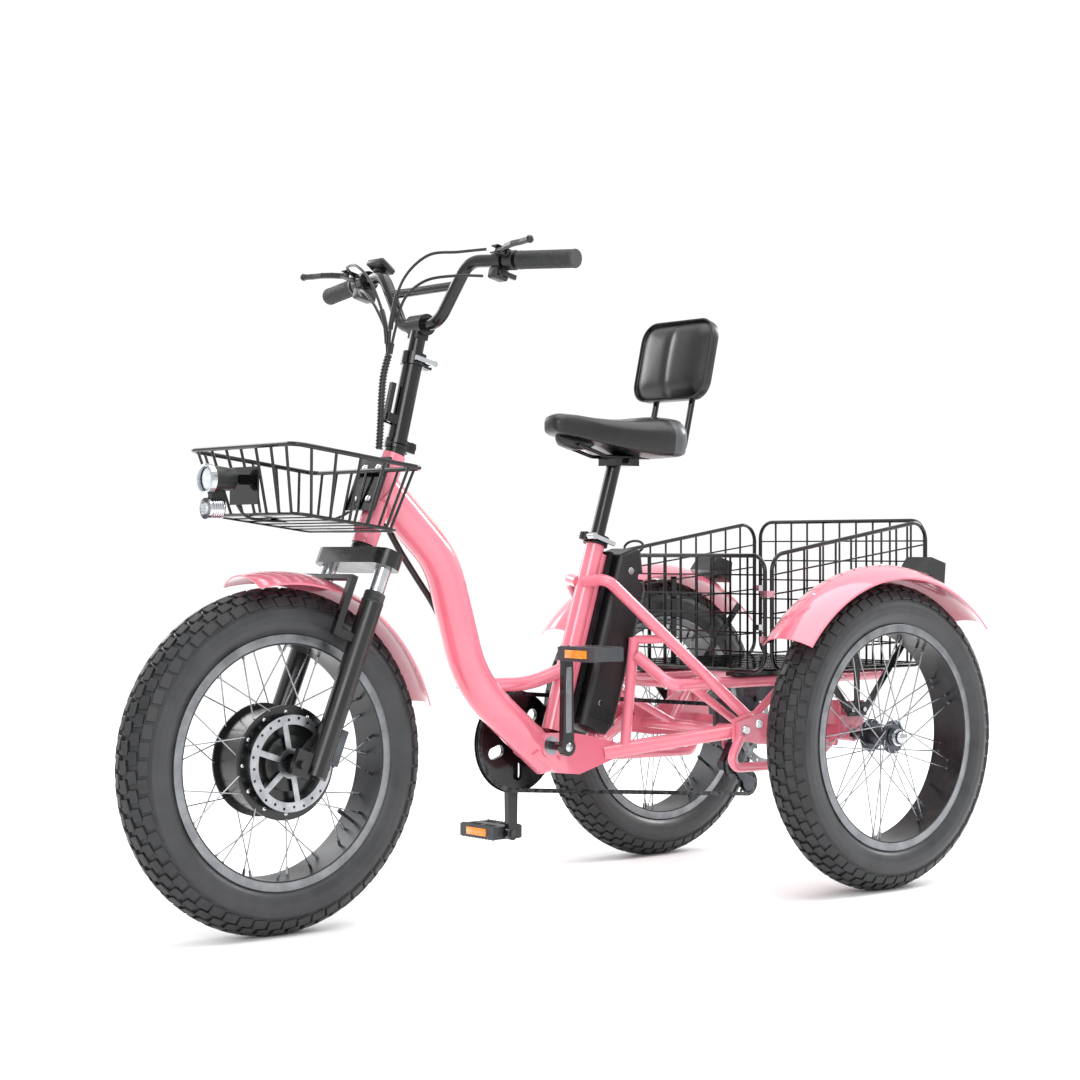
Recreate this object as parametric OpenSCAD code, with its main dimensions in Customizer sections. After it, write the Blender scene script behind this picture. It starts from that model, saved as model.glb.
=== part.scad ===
/* [Wheels] */
// Distance between the front and rear axles
wheelbase = 1149; // [1100:1:1220]
// Distance between the centres of the two rear wheels
track = 633; // [620:1:680]
// Outer diameter of each tyre
tyre_d = 575; // [560:1:590]
// Width of each tyre
tyre_w = 100; // [90:1:106]
// Outer diameter of the rim flanges
rim_d = 421; // [415:1:425]
// Width of each rim
rim_w = 76; // [70:1:80]
// Number of spokes in each wheel
spoke_count = 36; // [24:12:36]
// Spoke diameter
spoke_d = 2.4; // [2:0.1:2.6]
// Distance between the two spoke flanges of a rear hub
flange_gap = 54; // [48:1:60]
// Diameter of a rear hub's spoke flanges
flange_d = 62; // [56:1:70]
// Diameter of the hub motor
motor_d = 190; // [170:1:200]
// Brake rotor diameter
rotor_d = 160; // [140:1:180]

/* [Steering] */
// Lean of the steering axis from the vertical
rake = 22; // [18:1:24]
// Distance from the steering axis back from the front axle, at axle height
fork_offset = 38; // [30:1:46]
// Head tube outer diameter
head_d = 44; // [42:1:50]
// Head tube length
head_l = 167; // [150:1:175]
// Diameter of the steerer
steerer_d = 28.6; // [25.4:0.1:28.6]
// Distance between the fork leg centres
leg_gap = 160; // [154:1:170]
// Fork leg diameter
leg_d = 38; // [34:1:40]
// Stanchion diameter
stanchion_d = 28; // [25.4:0.1:30]
// Lean of the folding handlepost from the vertical
post_lean = 14; // [10:1:18]

/* [Frame] */
// Down tube diameter
down_d = 66; // [60:1:70]
// Seat tube diameter
seat_tube_d = 36; // [34:0.5:38]
// Lean of the seat tube from the vertical
seat_lean = 17.5; // [16:0.5:19]
// Chainstay diameter
stay_d = 28; // [24:1:30]
// Distance from the rear axle forward to the crank axis
crank_reach = 575; // [565:1:600]
// Height of the crank axis
crank_z = 283; // [278:1:290]
// Outer diameter of the rear axle tubes
axle_tube_d = 30; // [28:1:34]
// Rear axle shaft diameter
axle_d = 15; // [14:0.5:15.5]

/* [Drive] */
// Crank arm length
crank_l = 170; // [160:1:175]
// Teeth on the chainring
ring_teeth = 44; // [40:4:44]
// Teeth on the sprocket the chain runs on
cog_teeth = 18; // [18]
// Distance from the middle of the tricycle out to the chain
chain_line = 64; // [63:0.5:66]
// Chain pitch
pitch = 12.7; // [12.7]

/* [Seat] */
// Seatpost diameter
seatpost_d = 27.2; // [25.4:0.1:28.6]
// Saddle length
saddle_l = 268; // [250:1:280]
// Saddle width
saddle_w = 216; // [190:1:240]
// Backrest pad width
pad_w = 200; // [180:1:220]
// Backrest pad height
pad_h = 158; // [140:1:180]

/* [Handlebar] */
// Handlebar tube diameter
bar_d = 22.2; // [22.2:0.1:25.4]
// Handlebar width over the grips
bar_w = 714; // [680:1:740]
// Height of the grips above the clamp
bar_rise = 100; // [90:1:110]

/* [Baskets] */
// Width of the rear basket over its corner tubes
rear_w = 472; // [450:1:474]
// Length of the rear basket
rear_l = 450; // [420:1:460]
// Width of the front basket's top rim
front_w = 326; // [300:1:340]
// Length of the front basket's top rim
front_l = 256; // [240:1:270]
// Height of the front basket
front_h = 106; // [95:1:115]

/* [Fits] */
// Radial clearance of every shaft that turns or slides
run = 0.05; // [0.02:0.01:0.1]
// Gap between pieces that move past each other
gap = 0.5; // [0.4:0.1:1]

/* [Hidden] */
$fn = 48;
ra = wheelbase / 2;
fa = -wheelbase / 2;
wr = tyre_d / 2;
half = track / 2;
// Places relative to the rear axle, sides given by the sign of x
function at(x, y, z) = [x, ra + y, z];
bb = at(0, -crank_reach, crank_z);
seat_top = at(0, -435, 662);
// Heights along the steering axis, measured from the point level with the front axle
head_z0 = 387;
head_z1 = head_z0 + head_l;
crown_z = 345;
crown_h = 28;
axle_y = -fork_offset * cos(rake);
axle_z = -fork_offset * sin(rake);
post_z = head_z1 + 6;
hinge_up = 14;
hinge_back = 24;
post_l = 178;
stem_l = 52;
cup_r = 17;
shell_w = 70;
spindle_r = 8;
axle_r = axle_d / 2;
bearing_r = 11;
motor_half = 48;
ring_r = pitch / (2 * sin(180 / ring_teeth));
cog_r = pitch / (2 * sin(180 / cog_teeth));
pulley_teeth = 11;
pulley_r = pitch / (2 * sin(180 / pulley_teeth));
// Pulley centres in the plane of the chain, as distances from the rear axle
guide_at = [-14, -82];
tension_at = [24, -120];
cogs = [28, 24, 22, 20, 18, 16, 14];
cog_step = 5;
chain_in = 3.2;
chain_half = 3.55;
link_h = 8;
rotor_x = 20;
rotor_t = 2;
fender_w = 120;
fender_r = 352;
fender_z = wr - 30;
fender_curve = 90;
front_fender_r = 316;
skin = 2.5;
lap = 1;
slack = 0.1;
battery_u = [38, 122];
battery_v = [-352, -2];
battery_w = 74;
wire = 3;
rim_wire = 8;
basket_z = 412;
basket_front_z = 627;
basket_back_z = 696;
basket_y0 = -221;
rail_z = 388;
rail_r = 11;
plate_x = 182;
plate_t = 7;
bar_half = bar_w / 2;
front_basket_lean = 7.6;

pink = "lightpink";
dark = "#26282a";
steel = "silver";

// ---- tubes and placing ----
function unit(v) = v / norm(v);
function any_side(u) = abs(u.x) < 0.9 ? unit(cross([1, 0, 0], u)) : unit(cross([0, 1, 0], u));
function mirror_x(pts) = [for (p = pts) [-p.x, p.y, p.z]];

// Puts local z along u and local x along n
module aim(p, u, n) {
    m = cross(u, n);
    multmatrix([[n.x, m.x, u.x, p.x], [n.y, m.y, u.y, p.y], [n.z, m.z, u.z, p.z], [0, 0, 0, 1]])
        children();
}

module rod(p, q, r) {
    u = unit(q - p);
    aim(p, u, any_side(u)) cylinder(h = norm(q - p), r = r);
}

// Length that a bend of radius bend takes off each straight beside corner b
function cut(a, b, c, bend) =
    bend * tan(acos(max(-1, min(1, unit(b - a) * unit(c - b)))) / 2);

module elbow(a, b, c, bend, r) {
    u = unit(b - a);
    v = unit(c - b);
    turn = acos(max(-1, min(1, u * v)));
    n = unit(v - (u * v) * u);
    centre = b - u * cut(a, b, c, bend) + n * bend;
    w = cross(u, n);
    multmatrix([[-n.x, u.x, w.x, centre.x], [-n.y, u.y, w.y, centre.y], [-n.z, u.z, w.z, centre.z],
        [0, 0, 0, 1]])
        rotate_extrude(angle = turn) translate([bend, 0]) circle(r = r - slack);
}

// A bent tube through corner points; bends holds one radius for each inner corner.
// Each straight runs a little way over the thinner bend that it meets.
module pipe(pts, bends, r) {
    last = len(pts) - 1;
    for (i = [0 : last - 1]) {
        u = unit(pts[i + 1] - pts[i]);
        from = i == 0 ? pts[0]
            : pts[i] + u * (cut(pts[i - 1], pts[i], pts[i + 1], bends[i - 1]) - lap);
        to = i == last - 1 ? pts[last]
            : pts[i + 1] - u * (cut(pts[i], pts[i + 1], pts[i + 2], bends[i]) - lap);
        rod(from, to, r);
    }
    for (i = [1 : 1 : last - 1]) elbow(pts[i - 1], pts[i], pts[i + 1], bends[i - 1], r);
}

// A closed loop of tube with the same bend at every corner
module loop(pts, bend, r) {
    n = len(pts);
    for (i = [0 : n - 1]) {
        a = pts[i];
        b = pts[(i + 1) % n];
        c = pts[(i + 2) % n];
        z = pts[(i + n - 1) % n];
        u = unit(b - a);
        rod(a + u * (cut(z, a, b, bend) - lap), b - u * (cut(a, b, c, bend) - lap), r);
        elbow(a, b, c, bend, r);
    }
}

module both() {
    children();
    mirror([1, 0, 0]) children();
}

// Steering frame: z runs up the steering axis, y backwards
module steer() translate([0, fa + fork_offset, wr]) rotate([-rake, 0, 0]) children();
// Handlepost frame: z runs up the folding post
module post() steer() translate([0, 0, post_z]) rotate([rake - post_lean, 0, 0]) children();
// Seat frame: z runs up the seat tube from its top, y backwards
module seat() translate(seat_top) rotate([-seat_lean, 0, 0]) children();
// An x-axis cylinder
module across(h, r) rotate([0, 90, 0]) cylinder(h = h, r = r);
// A plate drawn as [y, z], from x0 to x0 + t
module side_plate(x0, t) translate([x0, 0, 0]) rotate([90, 0, 90]) linear_extrude(t) children();

module slot_line(p, q, w) {
    u = unit(q - p);
    n = [-u.y, u.x] * w / 2;
    polygon([p + n, q + n, q - n, p - n]);
}

// ---- cords: one swept skin of rings along a smoothed route ----
function catmull(a, b, c, d, t) = 0.5 * (2 * b + (c - a) * t + (2 * a - 5 * b + 4 * c - d) * t * t
    + (3 * b - a - 3 * c + d) * t * t * t);
function smooth_route(pts, n) = concat([for (i = [0 : len(pts) - 2], k = [0 : n - 1])
    catmull(pts[max(i - 1, 0)], pts[i], pts[i + 1], pts[min(i + 2, len(pts) - 1)], k / n)],
    [pts[len(pts) - 1]]);
function heading(pts, i) = unit(pts[min(i + 1, len(pts) - 1)] - pts[max(i - 1, 0)]);
function carry(n, u) = unit(n - (n * u) * u);
function ring_dirs(pts, i, n) = i == len(pts) ? [] :
    let (m = carry(n, heading(pts, i))) concat([m], ring_dirs(pts, i + 1, m));
module cord(route, d, n, sides = 8) {
    pts = smooth_route(route, n);
    dirs = ring_dirs(pts, 0, any_side(heading(pts, 0)));
    count = len(pts);
    skin_points = [for (i = [0 : count - 1], k = [0 : sides - 1])
        let (u = heading(pts, i), m = cross(u, dirs[i]), a = 360 * k / sides)
        pts[i] + (dirs[i] * cos(a) + m * sin(a)) * d / 2];
    walls = [for (i = [0 : count - 2], k = [0 : sides - 1])
        [i * sides + k, (i + 1) * sides + k, (i + 1) * sides + (k + 1) % sides,
            i * sides + (k + 1) % sides]];
    ends = [[for (k = [0 : sides - 1]) k],
        [for (k = [sides - 1 : -1 : 0]) (count - 1) * sides + k]];
    polyhedron(skin_points, concat(walls, ends), convexity = 4);
}

// ---- frame ----
// Where the battery stands behind the seat tube, in the seat frame
module seat_box(u0, u1, v0, v1, w) seat() translate([-w / 2, u0, v0]) cube([w, u1 - u0, v1 - v0]);

stay_end = [plate_x - 4.5, -215, 302];
stay_top = [stay_end.x - 6, -203, 320];

module stays() {
    rod(at(24, -440, 262), at(stay_end.x - stay_d / 2, stay_end.y, stay_end.z), stay_d / 2);
    pipe([at(8, -474, 578), at(54, -458, 584), at(stay_top.x, stay_top.y, stay_top.z)], [26], 11);
    rod(at(48, -408, 272), at(48, -385, 474), 10);
    rod(at(48, -385, 470), at(102, -353, 473), 8);
    side_plate(plate_x - 10, 6) translate([ra, 0]) polygon([[-252, 280], [-252, 322], [-205, 336],
        [-176, 326], [-176, 292]]);
}

module main_frame() color(pink) difference() {
    union() {
        steer() translate([0, 0, head_z0]) cylinder(h = head_l, d = head_d);
        pipe([[0, fa + 221, 742], [0, fa + 351, 618], [0, fa + 415, 400], at(0, -556, 254)], [174, 221],
            down_d / 2);
        translate(bb - [shell_w / 2, 0, 0]) across(shell_w, 23);
            side_plate(-31, 62) translate([ra, 0]) polygon([[-612, 268], [-585, 306], [-521, 303],
            [-482, 296], [-416, 280], [-416, 250], [-505, 226], [-560, 232]]);
        seat() translate([0, 0, -372]) cylinder(h = 372, d = seat_tube_d);
        seat_box(10, 20, -345, -30, 30);
        pipe([[0, fa + 411, 396], at(0, -600, 394), at(0, -510, 420)], [260], 13);
        both() stays();
    }
    steer() translate([0, 0, head_z0 - 1]) cylinder(h = head_l + 2, r = cup_r);
    translate(bb - [shell_w, 0, 0]) across(2 * shell_w, cup_r);
    seat() translate([0, 0, -300]) cylinder(h = 310, r = seatpost_d / 2 + run);
    both() for (p = bolt_spots) translate(at(plate_x - 20, p.x, p.y)) across(30, 4.2);
}

bolt_spots = [[-230, 302], [-196, 312]];

module rear_frame() color(pink) difference() {
    union() {
        both() {
            side_plate(plate_x - 3.5, plate_t) translate([ra, 0]) polygon([[-248, 284], [-248, 318],
                [-185, 332], [-120, 318], [-60, 348], [24, 348], [30, wr], [20, 260], [-130, 266],
                [-200, 276]]);
            pipe([at(plate_x, -238, 292), at(168, -262, 232), at(168, -34, 228), at(plate_x, 8, 272)],
                [24, 24], 9);
            pipe([at(59, -388, 440), at(128, -366, rail_z), at(128, 215, rail_z)], [26], rail_r);
            rod(at(128, -320, rail_z), at(100, -150, 298), 8);
            rod(at(128, -60, rail_z), at(100, -150, 298), 8);
            rod(at(plate_x, -10, 330), at(128, 14, rail_z), 9);
            side_plate(236, 5) translate([ra, 0]) polygon([[-34, wr - 8], [-30, 350], [34, 350],
                [34, wr - 8]]);
        }
        rod(at(-plate_x, -150, 292), at(plate_x, -150, 292), 11);
        rod(at(-128, -316, rail_z), at(128, -316, rail_z), 9);
        rod(at(-128, 205, rail_z), at(128, 205, rail_z), 9);
        translate(at(46, 0, wr)) across(200, axle_tube_d / 2);
        translate(at(-246, 0, wr)) across(146, axle_tube_d / 2);
        side_plate(-104, 6) translate([ra, 0]) polygon([[-16, wr + 12], [16, wr + 12], [20, wr - 30],
            [10, wr - 56], [-6, wr - 52]]);
    }
    translate(at(-300, 0, wr)) across(600, bearing_r);
    both() for (p = bolt_spots) translate(at(plate_x - 20, p.x, p.y)) across(30, 4.2);
    both() for (y = stay_bolts) translate(at(230, y, 334)) across(20, 3);
}

stay_bolts = [-16, 16];
stay_x = half - fender_w / 2 - 4;

module bolt(p, len, r, head) {
    translate(p - [len, 0, 0]) across(len, r);
    translate(p) rotate([0, 90, 0]) cylinder(h = 5, r = head, $fn = 6);
}

// Through bolts of the stays and mudguards, and the clips that join the rear basket's panels
module fasteners() color(steel) {
    both() for (p = bolt_spots) bolt(at(plate_x + 3.6, p.x, p.y), 22, 4, 7);
    both() for (y = stay_bolts) {
        bolt(at(stay_x + 3, y, 334), stay_x - 233, 2.9, 5);
        translate(at(241, y, 334)) across(stay_x - 241, 6);
    }
    both() for (y = [basket_y0, basket_y0 + rear_l], z = [0.3, 0.72])
        translate(at(rear_w / 2 - 4, y, basket_z + z * 200)) cube([19, 19, 12], center = true);
}

module bearing(inner, outer, h) rotate([0, 90, 0]) difference() {
    cylinder(h = h, r = outer);
    translate([0, 0, -1]) cylinder(h = h + 2, r = inner + run);
}

// Headset, bottom bracket and rear axle bearings
module bearings() color(steel) {
    steer() for (z = [head_z0, head_z1 - 12]) translate([0, 0, z]) rotate([0, -90, 0])
        bearing(steerer_d / 2, cup_r, 12);
    for (x = [-shell_w / 2, shell_w / 2 - 11]) translate(bb + [x, 0, 0]) bearing(spindle_r, cup_r, 11);
    for (x = [50, 82, 232, -112, -242]) translate(at(x, 0, wr)) bearing(axle_r, bearing_r, 10);
}

module battery_rail() color(dark) difference() {
    union() {
        seat_box(20.5, 30, battery_v[0] + 14, battery_v[1] - 20, 44);
        seat_box(30, battery_u[0] - gap, battery_v[0] + 14, battery_v[1] - 20, 26);
    }
    for (v = [-300, -180, -60]) seat() translate([0, 10, v]) rotate([-90, 0, 0]) cylinder(h = 40, r = 2.6);
}

module battery() color(dark) {
    u0 = battery_u[0];
    u1 = battery_u[1];
    v0 = battery_v[0];
    v1 = battery_v[1];
    w = battery_w / 2;
    difference() {
        seat() hull() for (x = [-1, 1]) {
            translate([x * (w - 10), u0 + 10, v0 + 4]) cylinder(h = v1 - v0 - 24, r = 10, $fn = 24);
            translate([x * (w - 16), u1 - 16, v0 + 22]) cylinder(h = v1 - v0 - 90, r = 16, $fn = 24);
            translate([x * (w - 10), u1 - 46, v1 - 12]) cylinder(h = 12, r = 10, $fn = 24);
            translate([x * (w - 12), u1 - 24, v0]) cylinder(h = 10, r = 8, $fn = 24);
        }
        seat() translate([0, u1 - 22, v1 - 46]) rotate([0, 90, 0]) cylinder(h = 100, r = 11, center = true);
    }
}

module seat_collar() color(dark) difference() {
    seat() union() {
        translate([0, 0, -16]) cylinder(h = 18, d = seat_tube_d + 10);
        translate([-9, -34, -14]) cube([18, 20, 14]);
    }
    seat() translate([0, 0, -17]) cylinder(h = 17, d = seat_tube_d + 0.1);
    seat() translate([0, 0, -17]) cylinder(h = 30, r = seatpost_d / 2 + run);
    seat() translate([-1, -40, -20]) cube([2, 40, 30]);
    seat() translate([-20, -28, -7]) across(40, 2.6);
}

module seat_lever() color(steel) seat() {
    translate([-14, -28, -7]) across(43, 2.5);
    translate([-16, -28, -7]) across(6, 5);
    translate([9.5, -28, -7]) across(19.5, 6);
    translate([24, -28, -11]) cube([5, 52, 8]);
}

module seatpost() color(dark) seat() {
    translate([0, 0, -200]) cylinder(h = 350, d = seatpost_d);
    translate([0, 6, 150]) rotate([seat_lean, 0, 0]) {
        translate([-24, -26, -8]) cube([48, 60, 18]);
        translate([-34, 4, 1]) across(68, 5);
    }
}

// ---- seat ----
saddle_y = -552;
saddle_base = 836;

module saddle() color(dark) translate(at(0, 0, 0)) hull() {
    translate([0, saddle_y + 22, saddle_base + 12]) sphere(r = 20, $fn = 32);
    translate([0, saddle_y + 96, saddle_base + 16]) sphere(r = 24, $fn = 32);
    both() {
        translate([saddle_w / 2 - 38, saddle_y + saddle_l - 62, saddle_base + 14])
            cylinder(h = 14, r = 38, $fn = 32);
        translate([saddle_w / 2 - 46, saddle_y + saddle_l - 46, saddle_base + 4])
            cylinder(h = 46, r = 34, $fn = 32);
        translate([saddle_w / 2 - 50, saddle_y + saddle_l - 40, saddle_base - 10])
            cylinder(h = 14, r = 26, $fn = 32);
    }
}

// Saddle rails, and the bent tubes that carry the backrest
module backrest_frame() color(dark) both() {
    pipe([at(22, -500, 832), at(20, -430, 812), at(20, -320, 812), at(26, -292, 830)], [30, 12], 3.5);
    pipe([at(20, -360, 822), at(50, -318, 815), at(50, -262, 823), at(50, -238, 920),
        at(50, -196, 1052)], [24, 22, 120], 6);
}

module backrest_pad() color(dark) translate(at(0, -232, 1000)) rotate([-13, 0, 0]) difference() {
    hull() for (x = [-1, 1], z = [-1, 1]) translate([x * (pad_w / 2 - 42), 0, z * (pad_h / 2 - 42)]) {
        rotate([90, 0, 0]) cylinder(h = 30, r = 42, center = true, $fn = 40);
        rotate([90, 0, 0]) translate([0, 0, 6]) cylinder(h = 26, r = 30, center = true, $fn = 40);
    }
    both() translate([50, 14, -120]) cylinder(h = 175, r = 7);
}

// ---- drive ----
function teeth_outline(n, r, depth) = [for (i = [0 : n - 1], k = [0 : 3])
    let (a = 360 / n * (i + [-0.34, -0.14, 0.14, 0.34][k]), d = r + [-depth, 2.2, 2.2, -depth][k])
    [d * cos(a), d * sin(a)]];

module toothed(n, t, phase = 0.5) rotate([0, 90, 0]) rotate([0, 0, 360 / n * phase])
    linear_extrude(t, center = true) polygon(teeth_outline(n, pitch / (2 * sin(180 / n)), 3.6));

module crank_arm(x, s) side_plate(x, 12) translate([bb.y, bb.z]) union() {
    circle(r = 16);
    translate([0, s * crank_l]) circle(r = 13);
    polygon([[-13, 0], [13, 0], [10, s * crank_l], [-10, s * crank_l]]);
}

module crankset() color(dark) {
    translate([-78, bb.y, bb.z]) across(153, spindle_r);
    difference() {
        union() {
            crank_arm(71, 1);
            crank_arm(-88, -1);
            translate([-76, bb.y, bb.z]) across(8, 30);
        }
        translate([60, bb.y, bb.z + crank_l]) across(30, 6.5);
        translate([-100, bb.y, bb.z - crank_l]) across(30, 6.5);
    }
}

module chainring() color(dark) translate([-chain_line, bb.y, bb.z]) difference() {
    union() {
        toothed(ring_teeth, 2.2);
        translate([-6, 0, 0]) across(6, ring_r - 18);
        translate([-7.5, 0, 0]) across(2, ring_r + 6);
    }
    translate([-20, 0, 0]) across(40, 30.2);
    for (a = [0 : 72 : 359]) rotate([a + 36, 0, 0]) hull() for (z = [46, 60])
        translate([-20, 0, z]) across(40, 11);
}

module pedal(s) {
    y = bb.y;
    z = bb.z + s * crank_l;
    translate([s > 0 ? 92 : -192, y - 34, z - 12]) difference() {
        cube([100, 68, 24]);
        for (u = [12, 54], v = [8, 45]) translate([u, v, -1]) cube([34, 15, 26]);
    }
    translate([s > 0 ? 74 : -186, y, z]) across(112, 6.4);
}

module left_pedal() color(dark) pedal(1);
module right_pedal() color(dark) pedal(-1);

module cassette() color(dark) translate(at(-chain_line, 0, wr)) difference() {
    union() {
        for (i = [0 : 6]) translate([(4 - i) * cog_step, 0, 0]) toothed(cogs[i], 1.8);
        translate([-2.5 * cog_step, 0, 0]) across(7.6 * cog_step, 22);
    }
    translate([-50, 0, 0]) across(100, axle_r + run);
}

// Belt round wheels: each is [y, z, radius], and a negative radius turns the other way
function belt_wheels() = [[bb.y, bb.z, ring_r], [ra + tension_at.x, wr + tension_at.y, pulley_r],
    [ra + guide_at.x, wr + guide_at.y, -pulley_r], [ra, wr, cog_r]];
function run_angle(a, b) = let (d = [b.x - a.x, b.y - a.y])
    atan2(d.y, d.x) - asin((b.z - a.z) / norm(d));
function leave(a, t) = [a.x + a.z * sin(t), a.y - a.z * cos(t)];

module belt(h) {
    w = belt_wheels();
    n = len(w);
    for (i = [0 : n - 1]) {
        a = w[i];
        b = w[(i + 1) % n];
        z = w[(i + n - 1) % n];
        t = run_angle(a, b);
        t0 = run_angle(z, a);
        u = 0.5 * [cos(t), sin(t)];
        slot_line(leave(a, t) - u, leave(b, t) + u, h - 2 * slack);
        s = a.z;
        sweep_deg = s > 0 ? (t - t0 + 720) % 360 : (t0 - t + 720) % 360;
        translate([a.x, a.y]) sector(abs(a.z), h, s > 0 ? t0 - 90 : t + 90, sweep_deg);
    }
}

// Part of a ring of mean radius r and width h, from angle a on through b degrees
module sector(r, h, a, b) intersection() {
    difference() {
        circle(r = r + h / 2, $fn = 96);
        circle(r = r - h / 2, $fn = 96);
    }
    polygon(concat([[0, 0]], [for (k = [0 : 6]) 3 * r * [cos(a + b * k / 6), sin(a + b * k / 6)]]));
}

module chain() color("#3a3a3a") {
    for (x = [-chain_half, chain_in / 2]) side_plate(-chain_line + x, chain_half - chain_in / 2)
        belt(link_h);
    w = belt_wheels();
    for (i = [0, 3]) {
        t = run_angle(w[i], w[(i + 1) % 4]);
        p = leave(w[i], t);
        q = leave(w[(i + 1) % 4], t);
        count = floor(norm(q - p) / (3 * pitch));
        for (k = [1 : count - 1]) let (c = p + (q - p) * k / count)
            translate([-chain_line - chain_in / 2 - 0.5, c.x, c.y]) across(chain_in + 1, 3);
    }
}

module derailleur() color(dark) difference() {
    union() {
        for (x = [-6.4, 4.4]) side_plate(-chain_line + x, 2) translate([ra, wr]) {
            translate(guide_at) circle(r = 13);
            translate(tension_at) circle(r = 16);
            slot_line(guide_at, tension_at, 20);
        }
        for (p = [guide_at, tension_at]) translate(at(-chain_line - 5, p.x, wr + p.y)) across(10, 3);
        side_plate(-104 + 6.2, 22) translate([ra, wr]) {
            slot_line([8, -48], guide_at, 22);
            translate([8, -48]) circle(r = 11);
            translate(guide_at) circle(r = 13);
        }
        translate(at(-chain_line - 12, guide_at.x, wr + guide_at.y)) across(6, 13);
    }
}

module pulley(p) color(dark) translate(at(-chain_line, p.x, wr + p.y)) difference() {
    union() {
        toothed(pulley_teeth, 2.2);
        translate([-4, 0, 0]) across(8, 7);
    }
    translate([-20, 0, 0]) across(40, 3 + run);
}
module guide_pulley() pulley(guide_at);
module tension_pulley() pulley(tension_at);

// ---- wheels ----
module on_wheel(x, y) translate([x, y, wr]) rotate([0, 90, 0]) children();

module tyre() {
    r = wr;
    bead = rim_d / 2 - 8;
    rotate_extrude($fn = 96) difference() {
        union() {
            translate([r - tyre_w / 2 + 2, 0]) circle(r = tyre_w / 2 - 2);
            translate([bead, -tyre_w * 0.36]) square([r - tyre_w / 2 - bead, tyre_w * 0.72]);
            translate([r - 24, -tyre_w * 0.36]) square([24, tyre_w * 0.72]);
        }
        translate([r - tyre_w / 2 - 4, 0]) circle(r = tyre_w / 2 - 12);
        translate([bead - 20, -tyre_w * 0.28]) square([r - tyre_w / 2 - bead + 20, tyre_w * 0.56]);
    }
}

module rim() {
    r = rim_d / 2;
    well = r - 14;
    rotate_extrude($fn = 96) {
        translate([well, -rim_w / 2]) square([14, 3.5]);
        translate([well, rim_w / 2 - 3.5]) square([14, 3.5]);
        translate([well - 2, -rim_w / 2]) square([3.5, rim_w]);
    }
}

rim_in = rim_d / 2 - 16;

// Crossed spokes from two flanges to the rim; every second one starts inside its flange
module spokes(flange_x, flange_r, cross_deg) {
    per_side = spoke_count / 2;
    for (s = [-1, 1], i = [0 : per_side - 1]) {
        way = i % 2 == 0 ? 1 : -1;
        a = 360 / per_side * i + (s > 0 ? 0 : 180 / per_side);
        b = a + way * cross_deg;
        p = [flange_r * cos(a), flange_r * sin(a), s * (flange_x + way * 2.6)];
        q = [(rim_in + 2) * cos(b), (rim_in + 2) * sin(b), s * (12 + way * 1.5)];
        rod(p, q, spoke_d / 2);
        rod(q - unit(q - p) * 14, q, 2.4);
    }
}

module rear_hub() {
    difference() {
        union() {
            for (s = [-1, 1]) translate([0, 0, s * flange_gap / 2 - 1.5]) cylinder(h = 3, d = flange_d);
            translate([0, 0, -flange_gap / 2 - 4]) cylinder(h = flange_gap + 8, r = 17);
            translate([0, 0, flange_gap / 2]) cylinder(h = 14, r = 16);
        }
        for (s = [-1, 1], i = [0 : spoke_count / 2 - 1]) rotate([0, 0, 720 / spoke_count * i
            + (s > 0 ? 0 : 360 / spoke_count)]) translate([flange_d / 2 - 5, 0, s * flange_gap / 2 - 5])
            cylinder(h = 10, r = 1.6);
    }
}

module front_tyre() color(dark) on_wheel(0, fa) tyre();
module front_rim() color("dimgray") on_wheel(0, fa) rim();
module front_spokes() color(steel) on_wheel(0, fa) spokes(motor_half - 12, motor_d / 2 - 3, 20);
module hub_motor() color(dark) on_wheel(0, fa) difference() {
    union() {
        translate([0, 0, -motor_half + 14]) cylinder(h = 2 * motor_half - 28, d = motor_d - 16);
        for (s = [-1, 1]) translate([0, 0, s * (motor_half - 12) - 2]) cylinder(h = 4, d = motor_d);
        translate([0, 0, -motor_half]) cylinder(h = 2 * motor_half, r = 46);
    }
    translate([0, 0, -100]) cylinder(h = 200, r = 7 + run);
}
module front_rotor() color(steel) rotor([motor_half + 6, fa], 16);

module rotor(p, bore) translate([p.x - rotor_t / 2, p.y, wr]) rotate([0, 90, 0]) difference() {
    union() {
        difference() {
            cylinder(h = rotor_t, d = rotor_d);
            translate([0, 0, -1]) cylinder(h = 10, r = rotor_d / 2 - 16);
        }
        translate([0, 0, -8]) cylinder(h = 8 + rotor_t, r = 25);
        for (i = [0 : 5]) rotate([0, 0, i * 60 + 11]) translate([18, -5, 0])
            cube([rotor_d / 2 - 32, 10, rotor_t - 0.2]);
    }
    translate([0, 0, -12]) cylinder(h = 24, r = bore);
    for (i = [0 : 23]) rotate([0, 0, i * 15 + 4]) translate([rotor_d / 2 - 8 + 3 * (i % 2), 0, -1])
        cylinder(h = 10, r = 2.5);
}
module rear_rotor() color(steel) rotor([rotor_x, ra], axle_r);

module left_tyre() color(dark) on_wheel(half, ra) tyre();
module left_rim() color("dimgray") on_wheel(half, ra) rim();
module left_spokes() color(steel) on_wheel(half, ra) spokes(flange_gap / 2, flange_d / 2 - 5, 68);
module left_hub() color(steel) {
    on_wheel(half, ra) rear_hub();
    translate(at(74, 0, wr)) across(half - 74, axle_r);
}
module right_tyre() color(dark) on_wheel(-half, ra) tyre();
module right_rim() color("dimgray") on_wheel(-half, ra) rim();
module right_spokes() color(steel) on_wheel(-half, ra) spokes(flange_gap / 2, flange_d / 2 - 5, 68);
module right_hub() color(steel) {
    on_wheel(-half, ra) mirror([0, 0, 1]) rear_hub();
    translate(at(-half, 0, wr)) across(half + 68, axle_r);
}

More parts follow.
